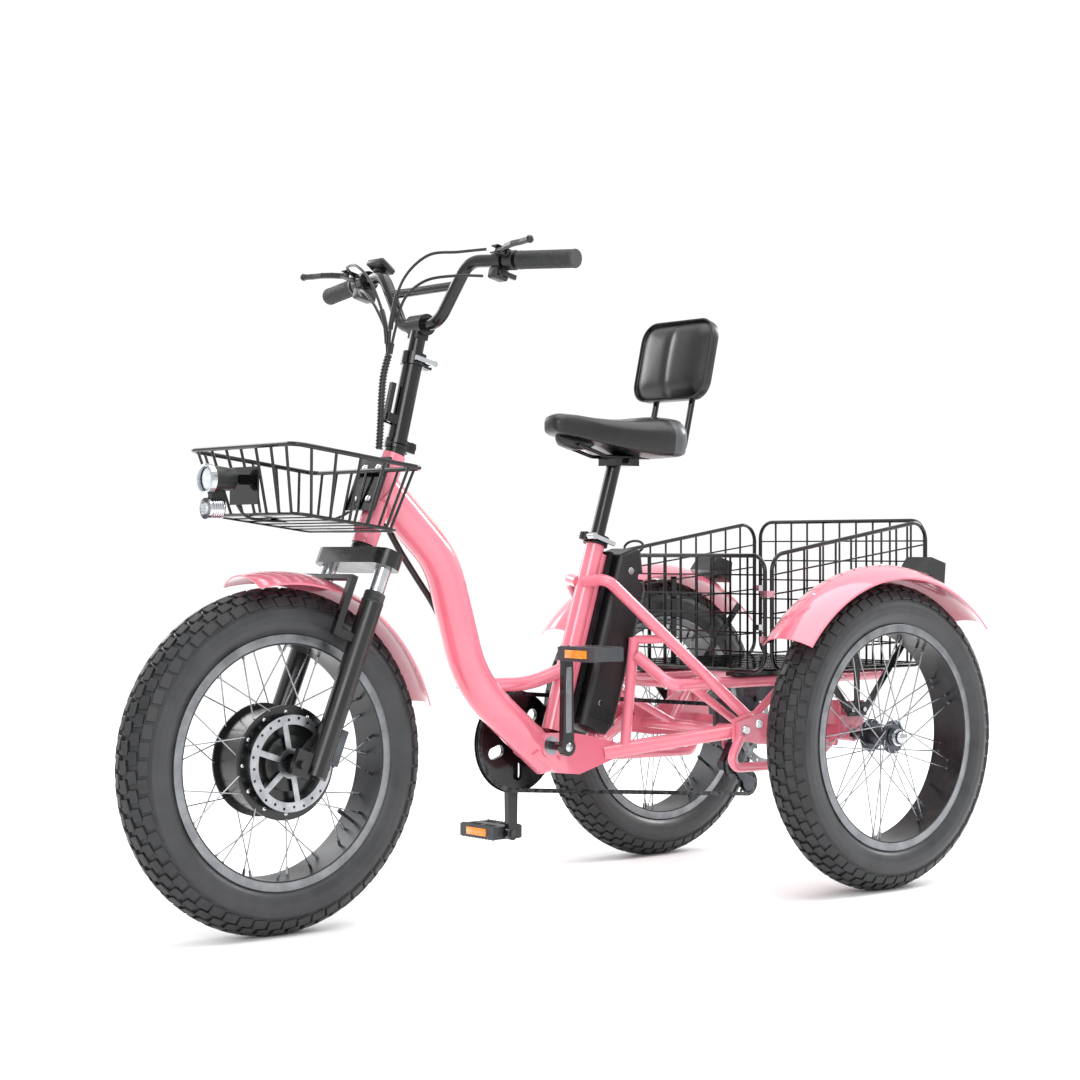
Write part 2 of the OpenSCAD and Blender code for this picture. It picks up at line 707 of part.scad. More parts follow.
// ---- fork ----
module fork_crown() color(dark) steer() {
    translate([0, 0, crown_z]) cylinder(h = post_z - crown_z + 3, d = steerer_d);
    translate([0, 0, crown_z + crown_h]) cylinder(h = 12, r = 20);
    translate([-leg_gap / 2, -26, crown_z]) cube([leg_gap, 52, crown_h]);
    both() translate([leg_gap / 2, 0, crown_z]) cylinder(h = crown_h, r = 26);
    both() translate([leg_gap / 2, 0, 90]) cylinder(h = crown_z + crown_h + 4 - 90, d = stanchion_d);
}

module fork_lowers() color(dark) {
    steer() difference() {
        union() {
            both() {
                translate([leg_gap / 2, 0, -24]) cylinder(h = 305, d = leg_d);
                translate([leg_gap / 2 - 5, axle_y - 14, -34]) cube([10, 36, 44]);
                translate([leg_gap / 2 - 6, -52, 206]) cube([12, 52, 14]);
                translate([leg_gap / 2 - 6, -58, 206]) cube([12, 12, 104]);
            }
            translate([-leg_gap / 2 - 6, -58, 303]) cube([leg_gap + 12, 12, 8]);
        }
        both() translate([leg_gap / 2, 0, 40]) cylinder(h = 300, r = stanchion_d / 2 + run);
    }
    translate([-leg_gap / 2 - 14, fa, wr]) across(leg_gap + 28, 7);
}

module fender_skin(radius, deg0, deg1, w) rotate([0, 0, deg0]) rotate_extrude(angle = deg1 - deg0, $fn = 96)
    intersection() {
        translate([radius - fender_curve, 0]) difference() {
            circle(r = fender_curve, $fn = 96);
            circle(r = fender_curve - skin, $fn = 96);
        }
        translate([radius - 60, -w / 2]) square([100, w]);
    }

// Turns a wheel-plane drawing so that its x axis points back and its y axis points up
module wheel_side(x, y, z) translate([x, y, z]) rotate([90, 0, 90]) children();

module front_fender() color(pink) {
    wheel_side(0, fa, wr) fender_skin(front_fender_r, 16, 102, 112);
}

module rear_fenders() color(pink) both() wheel_side(half, ra, fender_z)
    fender_skin(fender_r, 44, 141, fender_w);

module fender_stays() color(dark) both() side_plate(stay_x, 3) translate([ra, 0])
    difference() {
        union() {
            for (a = [-36, 0, 36]) slot_line([a * 0.5, 328], [325 * sin(a), fender_z + 325 * cos(a)], 14);
            translate([-26, 322]) square([52, 26]);
        }
        for (y = stay_bolts) translate([y, 334]) circle(r = 3);
    }

module tail_lights() color(dark) both() side_plate(half - 56, 62) translate([ra + 128, 590])
    polygon([[-16, 6], [6, 0], [46, -22], [50, 22], [8, 34]]);

module front_caliper() color(dark) steer() difference() {
    union() {
        translate([motor_half - 3, 18, 8]) cube([15.5, 32, 62]);
        translate([motor_half + 10, 8, 44]) cube([10, 20, 26]);
    }
    translate([motor_half + 2, axle_y, axle_z]) across(8, rotor_d / 2 + 2);
}

module rear_caliper() color(dark) difference() {
    union() {
        translate(at(rotor_x - 18, -52, 340)) cube([36, 50, 38]);
        translate(at(rotor_x + 6, -160, 296)) cube([8, 120, 54]);
    }
    translate(at(rotor_x - 4, 0, wr)) across(8, rotor_d / 2 + 2);
    translate(at(-50, 0, wr)) across(200, 30);
    translate(at(-200, -150, 292)) across(400, 11.2);
}

// ---- folding post and bar ----
module stem_base() color(dark) {
    steer() difference() {
        translate([0, 0, post_z - 6 + gap]) cylinder(h = 12, r = 19);
        translate([0, 0, post_z - 30]) cylinder(h = 33, r = steerer_d / 2);
    }
    post() {
        difference() {
            translate([0, 0, 6]) cylinder(h = hinge_up - 8, r = 21);
            translate([-8, hinge_back, hinge_up]) across(16, 9.6);
        }
        both() translate([8, 8, 4]) cube([7, hinge_back, hinge_up + 4]);
        both() translate([8, hinge_back, hinge_up]) across(7, 9);
        translate([-16, hinge_back, hinge_up]) across(32, 3);
    }
}

module handlepost() color(dark) post() difference() {
    union() {
        translate([0, 0, hinge_up]) cylinder(h = post_l - hinge_up, d = 36);
        translate([0, 0, hinge_up]) cylinder(h = 8, r = 21);
        translate([-7.5, 0, hinge_up]) cube([15, hinge_back, 9]);
        translate([-7.5, hinge_back, hinge_up]) across(15, 9);
        translate([0, 0, post_l - 22]) cylinder(h = 22, d = 44);
        translate([-9, 14, post_l - 20]) cube([18, 22, 16]);
        both() translate([6, -34, 46]) cube([5, 20, 16]);
    }
    translate([-20, hinge_back, hinge_up]) across(40, 3 + run);
    both() translate([7.5, 4, 0]) cube([8, 44, hinge_up + 10]);
    translate([0, 0, 30]) cylinder(h = post_l, r = 14.3 + run);
    translate([-1, 10, post_l - 40]) cube([2, 40, 60]);
    translate([-30, 28, post_l - 12]) across(60, 2.6);
    translate([-20, -28, 54]) across(40, 2 + run);
}

// Long latch lever on the front of the folding post
module fold_latch() color(dark) post() {
    translate([-11, -28, 54]) across(22, 2);
    translate([-5.5, -33, 49]) cube([11, 9, 11]);
    translate([-4.5, -36, 50]) cube([9, 9, 66]);
}

module height_lever() color(steel) post() {
    translate([-16, 28, post_l - 12]) across(44, 2.5);
    translate([-16, 28, post_l - 12]) across(6.5, 5);
    translate([9.5, 28, post_l - 12]) across(19, 5.5);
    translate([23.5, -14, post_l - 16]) cube([5, 42, 8]);
}

bar_at = post_l + stem_l;

module stem() color(dark) post() difference() {
    union() {
        translate([0, 0, 60]) cylinder(h = bar_at - 60 - 10, r = 14.3);
        translate([-20, 0, bar_at]) across(40, 19);
        translate([-14, -12, bar_at - 26]) cube([28, 24, 22]);
    }
    translate([-60, 0, bar_at]) across(120, bar_d / 2);
}

// Half of the bar's bends, in the post frame
function bar_half_route() = [[0, 0, bar_at], [52, 0, bar_at], [124, -14, bar_at + bar_rise],
    [bar_half - 4, 30, bar_at + bar_rise - 4]];
grip_l = 118;
function bar_u() = unit(bar_half_route()[3] - bar_half_route()[2]);
function bar_point(d) = bar_half_route()[3] - bar_u() * d;

module handlebar() color(dark) post() difference() {
    union() {
        both() pipe(bar_half_route(), [46, 46], bar_d / 2);
        rod([-92, -8, bar_at + 62], [92, -8, bar_at + 62], 8);
    }
    both() rod(bar_point(55), bar_point(-2), bar_d / 2 - 2.5);
}

// A ring sleeve round the straight end of the bar, from d0 to d1 in from its tip
module sleeve(d0, d1, r) difference() {
    rod(bar_point(d0), bar_point(d1), r);
    rod(bar_point(d0 - 1), bar_point(d1 + 1), bar_d / 2);
}

module grips() color("black") post() both() sleeve(-3, grip_l, 16);

lever_at = grip_l + 18;

module controls() color(dark) post() {
    both() {
        sleeve(lever_at - 10, lever_at + 10, 17);
        translate(bar_point(lever_at)) translate([-9, -42, -1]) difference() {
            cube([18, 30, 14]);
            translate([9, 8, -10]) cylinder(h = 40, r = 3 + run);
            translate([1.5, -1, 3]) cube([30, 22, 8]);
        }
    }
    mirror([1, 0, 0]) {
        sleeve(lever_at + 16, lever_at + 36, 19);
        translate(bar_point(lever_at + 26)) difference() {
            translate([-14, -16, -36]) cube([28, 36, 22]);
            translate([4, 2, -25]) across(20, 3 + run);
        }
        translate(bar_point(lever_at + 66)) translate([-30, -32, 14]) cube([58, 46, 18]);
        translate(bar_point(lever_at + 66)) translate([-8, -8, 8]) cube([14, 16, 8]);
    }
    sleeve(lever_at + 16, lever_at + 34, 18);
    translate(bar_point(lever_at + 25)) difference() {
        translate([-12, -14, -34]) cube([24, 30, 20]);
        translate([2, -4, -24]) across(20, 3 + run);
    }
}

module brake_lever() {
    p = bar_point(lever_at);
    translate([p.x, p.y - 34, p.z + 6]) {
        translate([0, 0, -7]) cylinder(h = 14, r = 3);
        translate([0, -4, -3.4]) cube([22, 8, 6.8]);
        translate([18, -8, -3.4]) rotate([0, 0, -10]) cube([92, 9, 6.8]);
        translate([110, -20, -3.4]) cylinder(h = 6.8, r = 7);
    }
}
module left_brake_lever() color(steel) post() brake_lever();
module right_brake_lever() color(steel) post() mirror([1, 0, 0]) brake_lever();

module throttle() color(dark) post() translate(bar_point(lever_at + 25)) {
    translate([3, -4, -24]) across(14, 3);
    translate([12.5, -4, -24]) across(6, 6);
    translate([12.5, -4, -28]) cube([6, 30, 8]);
}

module shift_lever() color(dark) post() mirror([1, 0, 0]) translate(bar_point(lever_at + 26)) {
    translate([5, 2, -25]) across(14, 3);
    translate([14.5, 2, -25]) across(6, 6);
    translate([14.5, 2, -29]) cube([6, 30, 8]);
}

// ---- baskets and lamp ----
// A wire panel drawn upright: len along x, h0 high at x = 0 and h1 at x = len
module wire_panel(len, h0, h1, cols, rows, bend) {
    loop([[0, 0, 0], [len, 0, 0], [len, h1, 0], [0, h0, 0]], bend, rim_wire / 2);
    linear_extrude(wire, center = true) {
        for (i = [1 : cols]) let (x = len * i / (cols + 1))
            slot_line([x, 0], [x, h0 + (h1 - h0) * x / len], wire);
        for (j = [1 : rows]) slot_line([0, h0 * j / (rows + 1)], [len, h1 * j / (rows + 1)], wire);
    }
}

module rear_basket() color(dark) {
    w = rear_w;
    inset = 9;
    front_h0 = basket_front_z - basket_z;
    back_h0 = basket_back_z - basket_z;
    translate(at(-w / 2 + inset, basket_y0, basket_z)) rotate([90, 0, 0])
        wire_panel(w - 2 * inset, front_h0, front_h0, 9, 5, 30);
    translate(at(-w / 2 + inset, basket_y0 + rear_l, basket_z)) rotate([90, 0, 0])
        wire_panel(w - 2 * inset, back_h0, back_h0, 9, 6, 34);
    for (x = [-w / 2, w / 2]) translate(at(x, basket_y0 + inset, basket_z)) rotate([90, 0, 90])
        wire_panel(rear_l - 2 * inset, front_h0, back_h0, 9, 5, 34);
    translate(at(-w / 2 + 14, basket_y0 + 14, basket_z + 1)) linear_extrude(4) {
        for (i = [0 : 10]) translate([(w - 32) / 10 * i, 0]) square([4, rear_l - 28]);
        for (i = [0 : 8]) translate([0, (rear_l - 32) / 8 * i]) square([w - 28, 4]);
    }
    both() translate(at(116, basket_y0 + 8, rail_z + rail_r + 0.5))
        cube([24, rear_l - 16, basket_z - rail_z - rail_r + 1]);
}

module on_front_basket() translate([0, fa + 159, 670]) rotate([-front_basket_lean, 0, 0]) children();

module front_basket() color(dark) {
    flare = 20;
    top_y1 = 17;
    floor_w = front_w / 2 - 32;
    floor_l = front_l - 59;
    on_front_basket() {
        loop([[-front_w / 2, top_y1, front_h], [front_w / 2, top_y1, front_h],
            [front_w / 2, top_y1 - front_l, front_h], [-front_w / 2, top_y1 - front_l, front_h]], 20, 4);
        loop([[-floor_w, 0, 0], [floor_w, 0, 0], [floor_w, -floor_l, 0], [-floor_w, -floor_l, 0]], 14, 3);
        for (i = [-3 : 3]) {
            rod([floor_w * i / 3.6, 0, 0], [front_w / 2 * i / 3.6, top_y1, front_h], 2.5);
            rod([floor_w * i / 3.6, -floor_l, 0], [front_w / 2 * i / 3.6, top_y1 - front_l, front_h], 2.5);
        }
        both() for (i = [0 : 4]) rod([floor_w, -floor_l * (0.12 + 0.19 * i), 0],
            [front_w / 2, top_y1 - front_l * (0.12 + 0.19 * i), front_h], 2.5);
        for (i = [0 : 5]) translate([-floor_w, -floor_l * (0.1 + 0.16 * i) - 9, -1]) cube([2 * floor_w, 18, 3]);
    }
    steer() difference() {
        translate([-42, -head_d / 2 - 11, 438]) cube([84, 5, 98]);
        for (x = [-20, 20], z = [458, 516]) translate([x, 0, z]) rotate([90, 0, 0]) cylinder(h = 60, r = 3);
    }
    steer() for (z = [446, 504]) difference() {
        translate([-16, -head_d / 2 - 6.5, z]) cube([32, 12, 24]);
        cylinder(h = 800, d = head_d + 0.2);
    }
    translate([-43, fa - 58, 712]) cube([86, 3, 62]);
    both() translate([4.5, lamp_y + 24, lamp_z]) {
        across(4, 8);
        translate([0, 0, -8]) cube([4, 13, 16]);
    }
    translate([-8, lamp_y + 24, lamp_z]) across(16, 3);
}

lamp_y = fa - 94;
lamp_z = 753;
module headlight() color(dark) difference() {
    union() {
        translate([0, lamp_y + 14, lamp_z]) rotate([90, 0, 0]) cylinder(h = 48, r1 = 18, r2 = 24);
        translate([-4, lamp_y + 12, lamp_z - 8]) cube([8, 12, 16]);
        translate([-4, lamp_y + 24, lamp_z]) across(8, 8);
        translate([0, lamp_y - 34, lamp_z]) rotate([90, 0, 0]) cylinder(h = 4, r = 24);
        translate([0, lamp_y - 10, lamp_z - 48]) rotate([90, 0, 0]) cylinder(h = 26, r = 17);
        translate([-6, lamp_y - 28, lamp_z - 40]) cube([12, 26, 26]);
    }
    translate([0, lamp_y - 20, lamp_z]) rotate([90, 0, 0]) cylinder(h = 30, r = 20.5);
    translate([-10, lamp_y + 24, lamp_z]) across(20, 3 + run);
}

// Cables fixed to the frame: down from the head, and the lamp's wire
module frame_cables() color("black") for (r = frame_routes) cord(r[1], r[0], 5);
frame_routes = [
    [12, [[-27, -372, 786], [-30, -352, 742], [-37, -322, 690], [-41, -288, 640], [-41, -250, 590],
        [-40, -212, 540], [-39, -184, 490], [-38, -166, 440], [-38, -154, 390]]],
    [5, [[-27, -369, 770], [-60, -372, 712], [-50, -430, 688], [-30, -520, 686], [-14, -610, 690],
        [-8, -640, 712]]]
];

// Cables that move with the bar, drawn in the post frame: the wrapped bundle and its feeders
module bar_cables() color("black") post() for (r = bar_routes) cord(r[1], r[0], 5);
bar_routes = [
    [13, [[14, -62, 156], [14, -64, 120], [16, -60, 80], [17, -52, 36], [18, -45, -8]]],
    [5, [[199, -37, 336], [160, -64, 326], [104, -86, 318], [52, -90, 278], [22, -76, 214], [16, -64, 158],
        [16, -64, 140]]],
    [5, [[-199, -37, 336], [-160, -70, 330], [-96, -92, 318], [-40, -92, 282], [0, -76, 216],
        [12, -64, 158], [12, -64, 140]]],
    [5, [[-176, -18, 296], [-140, -48, 290], [-86, -74, 276], [-36, -80, 246], [0, -70, 200],
        [12, -61, 158], [12, -61, 140]]],
    [5, [[176, -16, 298], [140, -46, 292], [90, -70, 280], [48, -76, 250], [27, -68, 200], [16, -61, 158],
        [16, -61, 140]]]
];

main_frame();
rear_frame();
fasteners();
bearings();
battery_rail();
chain();
derailleur();
rear_caliper();
rear_basket();
rear_fenders();
fender_stays();
tail_lights();
front_basket();
seat_collar();
frame_cables();
seat_lever();
headlight();
battery();
seatpost();
saddle();
backrest_frame();
backrest_pad();
crankset();
chainring();
left_pedal();
right_pedal();
cassette();
guide_pulley();
tension_pulley();
fork_crown();
stem_base();
fold_latch();
handlepost();
height_lever();
stem();
handlebar();
grips();
controls();
bar_cables();
left_brake_lever();
right_brake_lever();
throttle();
shift_lever();
fork_lowers();
front_fender();
front_caliper();
front_tyre();
front_rim();
front_spokes();
hub_motor();
front_rotor();
left_tyre();
left_rim();
left_spokes();
left_hub();
right_tyre();
right_rim();
right_spokes();
right_hub();
rear_rotor();
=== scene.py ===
# %% [markdown]
# # An adult electric tricycle
# The engineering model already holds every rigid part in its true place, so
# this scene starts from it. Blender then adds what such a model leaves plain:
# tyre tread, sewn vinyl, wound cables, lenses, and the finish of each surface.

# %% Load the engineering model
import math
import bmesh
import bpy
from mathutils import Matrix, Vector


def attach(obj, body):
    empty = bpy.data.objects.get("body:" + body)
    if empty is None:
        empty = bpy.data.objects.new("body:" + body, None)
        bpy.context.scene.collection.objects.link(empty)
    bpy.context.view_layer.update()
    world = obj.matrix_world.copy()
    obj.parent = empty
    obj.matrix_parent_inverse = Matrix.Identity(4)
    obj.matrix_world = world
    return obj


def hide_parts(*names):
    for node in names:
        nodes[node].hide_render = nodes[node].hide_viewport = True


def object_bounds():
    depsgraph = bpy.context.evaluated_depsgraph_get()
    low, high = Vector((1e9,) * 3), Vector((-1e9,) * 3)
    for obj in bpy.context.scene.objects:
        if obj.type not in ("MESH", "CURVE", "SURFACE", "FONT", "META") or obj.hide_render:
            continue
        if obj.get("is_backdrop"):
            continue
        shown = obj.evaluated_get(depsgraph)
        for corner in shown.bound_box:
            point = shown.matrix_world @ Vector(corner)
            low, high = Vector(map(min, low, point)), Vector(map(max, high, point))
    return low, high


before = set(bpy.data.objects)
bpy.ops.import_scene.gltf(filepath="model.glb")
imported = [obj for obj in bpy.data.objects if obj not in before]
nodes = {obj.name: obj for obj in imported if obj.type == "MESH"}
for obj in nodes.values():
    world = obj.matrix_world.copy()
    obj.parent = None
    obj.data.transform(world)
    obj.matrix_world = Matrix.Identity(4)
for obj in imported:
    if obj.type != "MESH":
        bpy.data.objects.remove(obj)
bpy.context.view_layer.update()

# %% [markdown]
# ## Camera, floor and light
# A product picture of a long machine is taken from well back with a long lens,
# so that near and far wheels keep their true sizes. The floor is pale and
# wide, and four large soft lamps give the paint long, gentle highlights.

# %% Camera
camera_data = bpy.data.cameras.new("studio_camera")
camera_data.sensor_width = 36
camera_data.lens = 73.5
camera = bpy.data.objects.new("studio_camera", camera_data)
bpy.context.scene.collection.objects.link(camera)
camera.location = (3.094, -2.5755, 0.638)
camera.rotation_mode = "QUATERNION"
camera.rotation_quaternion = Vector((-0.7685, 0.640, 0.0044)).to_track_quat("-Z", "Y")
bpy.context.scene.camera = camera
print("camera at", [round(v, 3) for v in camera.location])

# %% Floor
floor_bm = bmesh.new()
bmesh.ops.create_grid(floor_bm, x_segments=1, y_segments=1, size=40)
floor_mesh = bpy.data.meshes.new("studio_floor")
floor_bm.to_mesh(floor_mesh)
floor_bm.free()
studio_floor = bpy.data.objects.new("studio_floor", floor_mesh)
bpy.context.scene.collection.objects.link(studio_floor)
studio_floor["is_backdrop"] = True


def linear(hex_colour):
    """Turns an sRGB hex colour into the linear values that shaders use."""
    parts = [int(hex_colour[i:i + 2], 16) / 255 for i in (1, 3, 5)]
    return [c / 12.92 if c <= 0.04045 else ((c + 0.055) / 1.055) ** 2.4 for c in parts] + [1.0]


floor_paint = bpy.data.materials.new("studio_paper")
floor_paint.use_nodes = True
paper = floor_paint.node_tree.nodes["Principled BSDF"]
paper.inputs["Base Color"].default_value = linear("#FFFFFF")
paper.inputs["Roughness"].default_value = 0.9
paper.inputs["Specular IOR Level"].default_value = 0.1
floor_mesh.materials.append(floor_paint)

# %% Soft lamps and a bright room
def soft_lamp(name, place, target, width, height, watts):
    lamp = bpy.data.lights.new(name, "AREA")
    lamp.shape = "RECTANGLE"
    lamp.size = width
    lamp.size_y = height
    lamp.energy = watts
    holder = bpy.data.objects.new(name, lamp)
    bpy.context.scene.collection.objects.link(holder)
    holder.location = place
    holder.rotation_mode = "QUATERNION"
    holder.rotation_quaternion = (Vector(target) - Vector(place)).to_track_quat("-Z", "Y")


soft_lamp("top_softbox", (0.4, 0.2, 3.6), (0, 0, 0.4), 3.2, 3.2, 80)
soft_lamp("front_softbox", (3.4, -3.4, 2.4), (0, 0, 0.5), 2.2, 1.8, 60)
soft_lamp("tail_softbox", (0.8, 4.0, 2.6), (0, 0.2, 0.4), 1.6, 1.6, 110)
soft_lamp("far_softbox", (-3.4, -0.6, 2.2), (0, 0, 0.6), 2.2, 1.6, 40)
room = bpy.data.worlds.new("pale_room")
room.use_nodes = True
room.node_tree.nodes["Background"].inputs["Color"].default_value = linear("#FFFFFF")
room.node_tree.nodes["Background"].inputs["Strength"].default_value = 1.05
bpy.context.scene.world = room
bpy.context.scene.view_settings.view_transform = "Standard"
print("lamps", len(bpy.data.lights))

# %% [markdown]
# ## Ways to place and finish a piece
# The steering, the folding post and the seat tube each lean by their own
# angle. A matrix for each lets a small part be modelled upright and then
# stood where it belongs, with its place kept in the mesh.

# %% Places that lean
REAR_AXLE = 0.5745
HALF_TRACK = 0.3165
WHEEL_HEIGHT = 0.2875


def leaning(origin, degrees):
    return Matrix.Translation(origin) @ Matrix.Rotation(math.radians(-degrees), 4, "X")


steer_frame = leaning((0, -0.5365, WHEEL_HEIGHT), 22)
post_frame = leaning(steer_frame @ Vector((0, 0, 0.560)), 14)
seat_frame = leaning((0, REAR_AXLE - 0.435, 0.662), 17.5)
print("post starts at", [round(v, 3) for v in post_frame.translation])

# %% One way to turn a bmesh into a finished piece
def finished(name, bm, material, body, replaces=(), smooth=40):
    mesh = bpy.data.meshes.new(name)
    bm.to_mesh(mesh)
    bm.free()
    mesh.materials.append(material)
    obj = bpy.data.objects.new(name, mesh)
    bpy.context.scene.collection.objects.link(obj)
    if smooth:
        mesh.shade_smooth()
        mesh.set_sharp_from_angle(angle=math.radians(smooth))
    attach(obj, body)
    if replaces:
        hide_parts(*replaces)
    return obj


# %% [markdown]
# ## Finishes
# Every finish is one Principled shader with a small pattern: a noise that
# varies the gloss as handling and dust do, and a finer one that lifts the
# surface. Its scale is worked out from a real size in millimetres.

# %% One small function adds a node
def add_node(tree, kind, links=(), **settings):
    made = tree.nodes.new(kind)
    for key, value in settings.items():
        if key in made.inputs:
            made.inputs[key].default_value = value
        elif key.replace("_", " ") in made.inputs:
            made.inputs[key.replace("_", " ")].default_value = value
        else:
            setattr(made, key, value)
    for socket, source in links:
        tree.links.new(source, made.inputs[socket])
    return made


def waves_per_metre(millimetres):
    """The noise scale whose features are about this size."""
    return 1000 / millimetres


def surface(name, light, dark, rough, metal=0.0, blotch_mm=60, grain_mm=1.2, bump=0.1,
            rough_spread=0.08, ior=1.5, coat=0.0, sheen=0.0, depth_mm=0.1):
    """A shader between two shades, with blotches of gloss and a fine grain."""
    material = bpy.data.materials.new(name)
    material.use_nodes = True
    tree = material.node_tree
    shader = tree.nodes["Principled BSDF"]
    shader.inputs["Metallic"].default_value = metal
    shader.inputs["IOR"].default_value = ior
    shader.inputs["Coat Weight"].default_value = coat
    shader.inputs["Coat Roughness"].default_value = 0.06
    shader.inputs["Sheen Weight"].default_value = sheen
    place = add_node(tree, "ShaderNodeTexCoord").outputs["Object"]
    blotch = add_node(tree, "ShaderNodeTexNoise", [("Vector", place)],
                      Scale=waves_per_metre(blotch_mm), Detail=3.0, Roughness=0.55)
    ramp = add_node(tree, "ShaderNodeValToRGB", [("Fac", blotch.outputs["Fac"])])
    ramp.color_ramp.elements[0].position = 0.35
    ramp.color_ramp.elements[0].color = linear(dark)
    ramp.color_ramp.elements[1].position = 0.65
    ramp.color_ramp.elements[1].color = linear(light)
    tree.links.new(ramp.outputs["Color"], shader.inputs["Base Color"])
    gloss = add_node(tree, "ShaderNodeMapRange", [("Value", blotch.outputs["Fac"])],
                     From_Min=0.3, From_Max=0.7, To_Min=max(rough - rough_spread, 0.02),
                     To_Max=min(rough + rough_spread, 1.0))
    tree.links.new(gloss.outputs["Result"], shader.inputs["Roughness"])
    if bump:
        grain = add_node(tree, "ShaderNodeTexNoise", [("Vector", place)],
                         Scale=waves_per_metre(grain_mm), Detail=2.0)
        lift = add_node(tree, "ShaderNodeBump", [("Height", grain.outputs["Fac"])],
                        Strength=bump, Distance=depth_mm / 1000)
        tree.links.new(lift.outputs["Normal"], shader.inputs["Normal"])
    return material


# %% Paints
# Baked enamel under clear lacquer: deep gloss, with a trace of orange peel.
pink_enamel = surface("pink_enamel_lacquered", "#E27A8D", "#DA7083", 0.20, blotch_mm=220,
                      grain_mm=3.0, bump=0.04, rough_spread=0.04, coat=1.0)
# Black enamel on steel tube and wire: dips thinly, so its gloss wanders more.
black_enamel = surface("black_enamel_on_steel", "#0B0C0D", "#050606", 0.17, blotch_mm=70,
                       grain_mm=2.0, bump=0.05, ior=1.42, coat=0.25)
# Powder coat on castings: a fine, even pebble.
black_powder = surface("black_powder_coat", "#0F1011", "#08090A", 0.30, blotch_mm=90,
                       grain_mm=0.9, bump=0.25, coat=0.15)
yellow_enamel = surface("yellow_stripe_enamel", "#F2C02C", "#E8B11F", 0.25, blotch_mm=90,
                        bump=0.02, coat=1.0)

# %% Metals
polished_chrome = surface("polished_chrome_plate", "#C9CCCF", "#B7BABE", 0.12, metal=1.0,
                          blotch_mm=40, bump=0.02, rough_spread=0.03)
stainless_wire = surface("stainless_spoke_wire", "#A9ACB0", "#8E9195", 0.28, metal=1.0,
                         blotch_mm=25, bump=0.03)
ground_steel = surface("ground_steel", "#B4B6B9", "#8F9296", 0.32, metal=1.0, blotch_mm=20,
                       grain_mm=0.6, bump=0.15)
oiled_steel = surface("oiled_chain_steel", "#5A5C5E", "#2C2D2F", 0.34, metal=1.0, blotch_mm=9,
                      grain_mm=0.8, bump=0.2)
grey_alloy = surface("anodised_grey_alloy", "#5E6166", "#47494D", 0.36, metal=1.0, blotch_mm=35,
                     grain_mm=0.7, bump=0.12)
black_alloy = surface("anodised_black_alloy", "#2A2B2E", "#1B1C1E", 0.32, metal=0.85, blotch_mm=35,
                      grain_mm=0.7, bump=0.1)
rim_alloy = surface("charcoal_rim_alloy", "#3C3D3F", "#2A2B2D", 0.36, metal=0.6, blotch_mm=50,
                    grain_mm=0.8, bump=0.12)

# %% Rubber, vinyl and plastics
# Cured tread rubber is dusty grey on its wear faces and never truly black.
# The sidewall is a lighter grey than the tread; that difference is painted sheen, standing in for the soft
# gloss along a sidewall.
sidewall_rubber_with_painted_sheen = surface("smooth_sidewall_rubber_painted_sheen", "#353639", "#28292B", 0.40, blotch_mm=60,
                          grain_mm=1.2, bump=0.12, depth_mm=0.15)
tread_rubber = surface("cured_tread_rubber", "#28292B", "#17181A", 0.50, blotch_mm=34,
                       grain_mm=1.0, bump=0.35, depth_mm=0.25)
grip_rubber = surface("moulded_grip_rubber", "#2B2C2E", "#1E1F20", 0.55, blotch_mm=25,
                      grain_mm=0.8, bump=0.25)
# Glossy upholstery vinyl: an embossed grain of about a millimetre.
seat_vinyl = surface("embossed_black_vinyl", "#0E0F10", "#070808", 0.34, blotch_mm=80,
                     grain_mm=1.4, bump=0.30, depth_mm=0.15, coat=0.08)
grey_vinyl = surface("embossed_grey_vinyl", "#4A4C50", "#3C3E41", 0.36, blotch_mm=80,
                     grain_mm=1.4, bump=0.30, depth_mm=0.15, coat=0.15)
black_abs = surface("moulded_black_abs", "#1A1B1D", "#111213", 0.34, blotch_mm=60, grain_mm=0.8, bump=0.12)
grey_nylon = surface("moulded_grey_nylon", "#3E4044", "#313337", 0.5, blotch_mm=40, grain_mm=0.9, bump=0.2)
cable_pvc = surface("black_pvc_sheath", "#1B1C1D", "#111112", 0.36, blotch_mm=30, grain_mm=1.5, bump=0.06)
amber_lens = surface("amber_reflector_acrylic", "#F59A14", "#E07F06", 0.14, blotch_mm=12,
                     grain_mm=2.5, bump=0.5, depth_mm=0.4, coat=0.8)
red_lens = surface("red_lens_acrylic", "#B3121A", "#7E0A10", 0.14, blotch_mm=12,
                   grain_mm=2.5, bump=0.5, depth_mm=0.4, coat=0.8)
lamp_lens = surface("clear_lamp_acrylic", "#DCE2E8", "#BFC7CF", 0.10, blotch_mm=9,
                    grain_mm=3.0, bump=0.4, depth_mm=0.3, coat=1.0)
print("materials", len(bpy.data.materials))

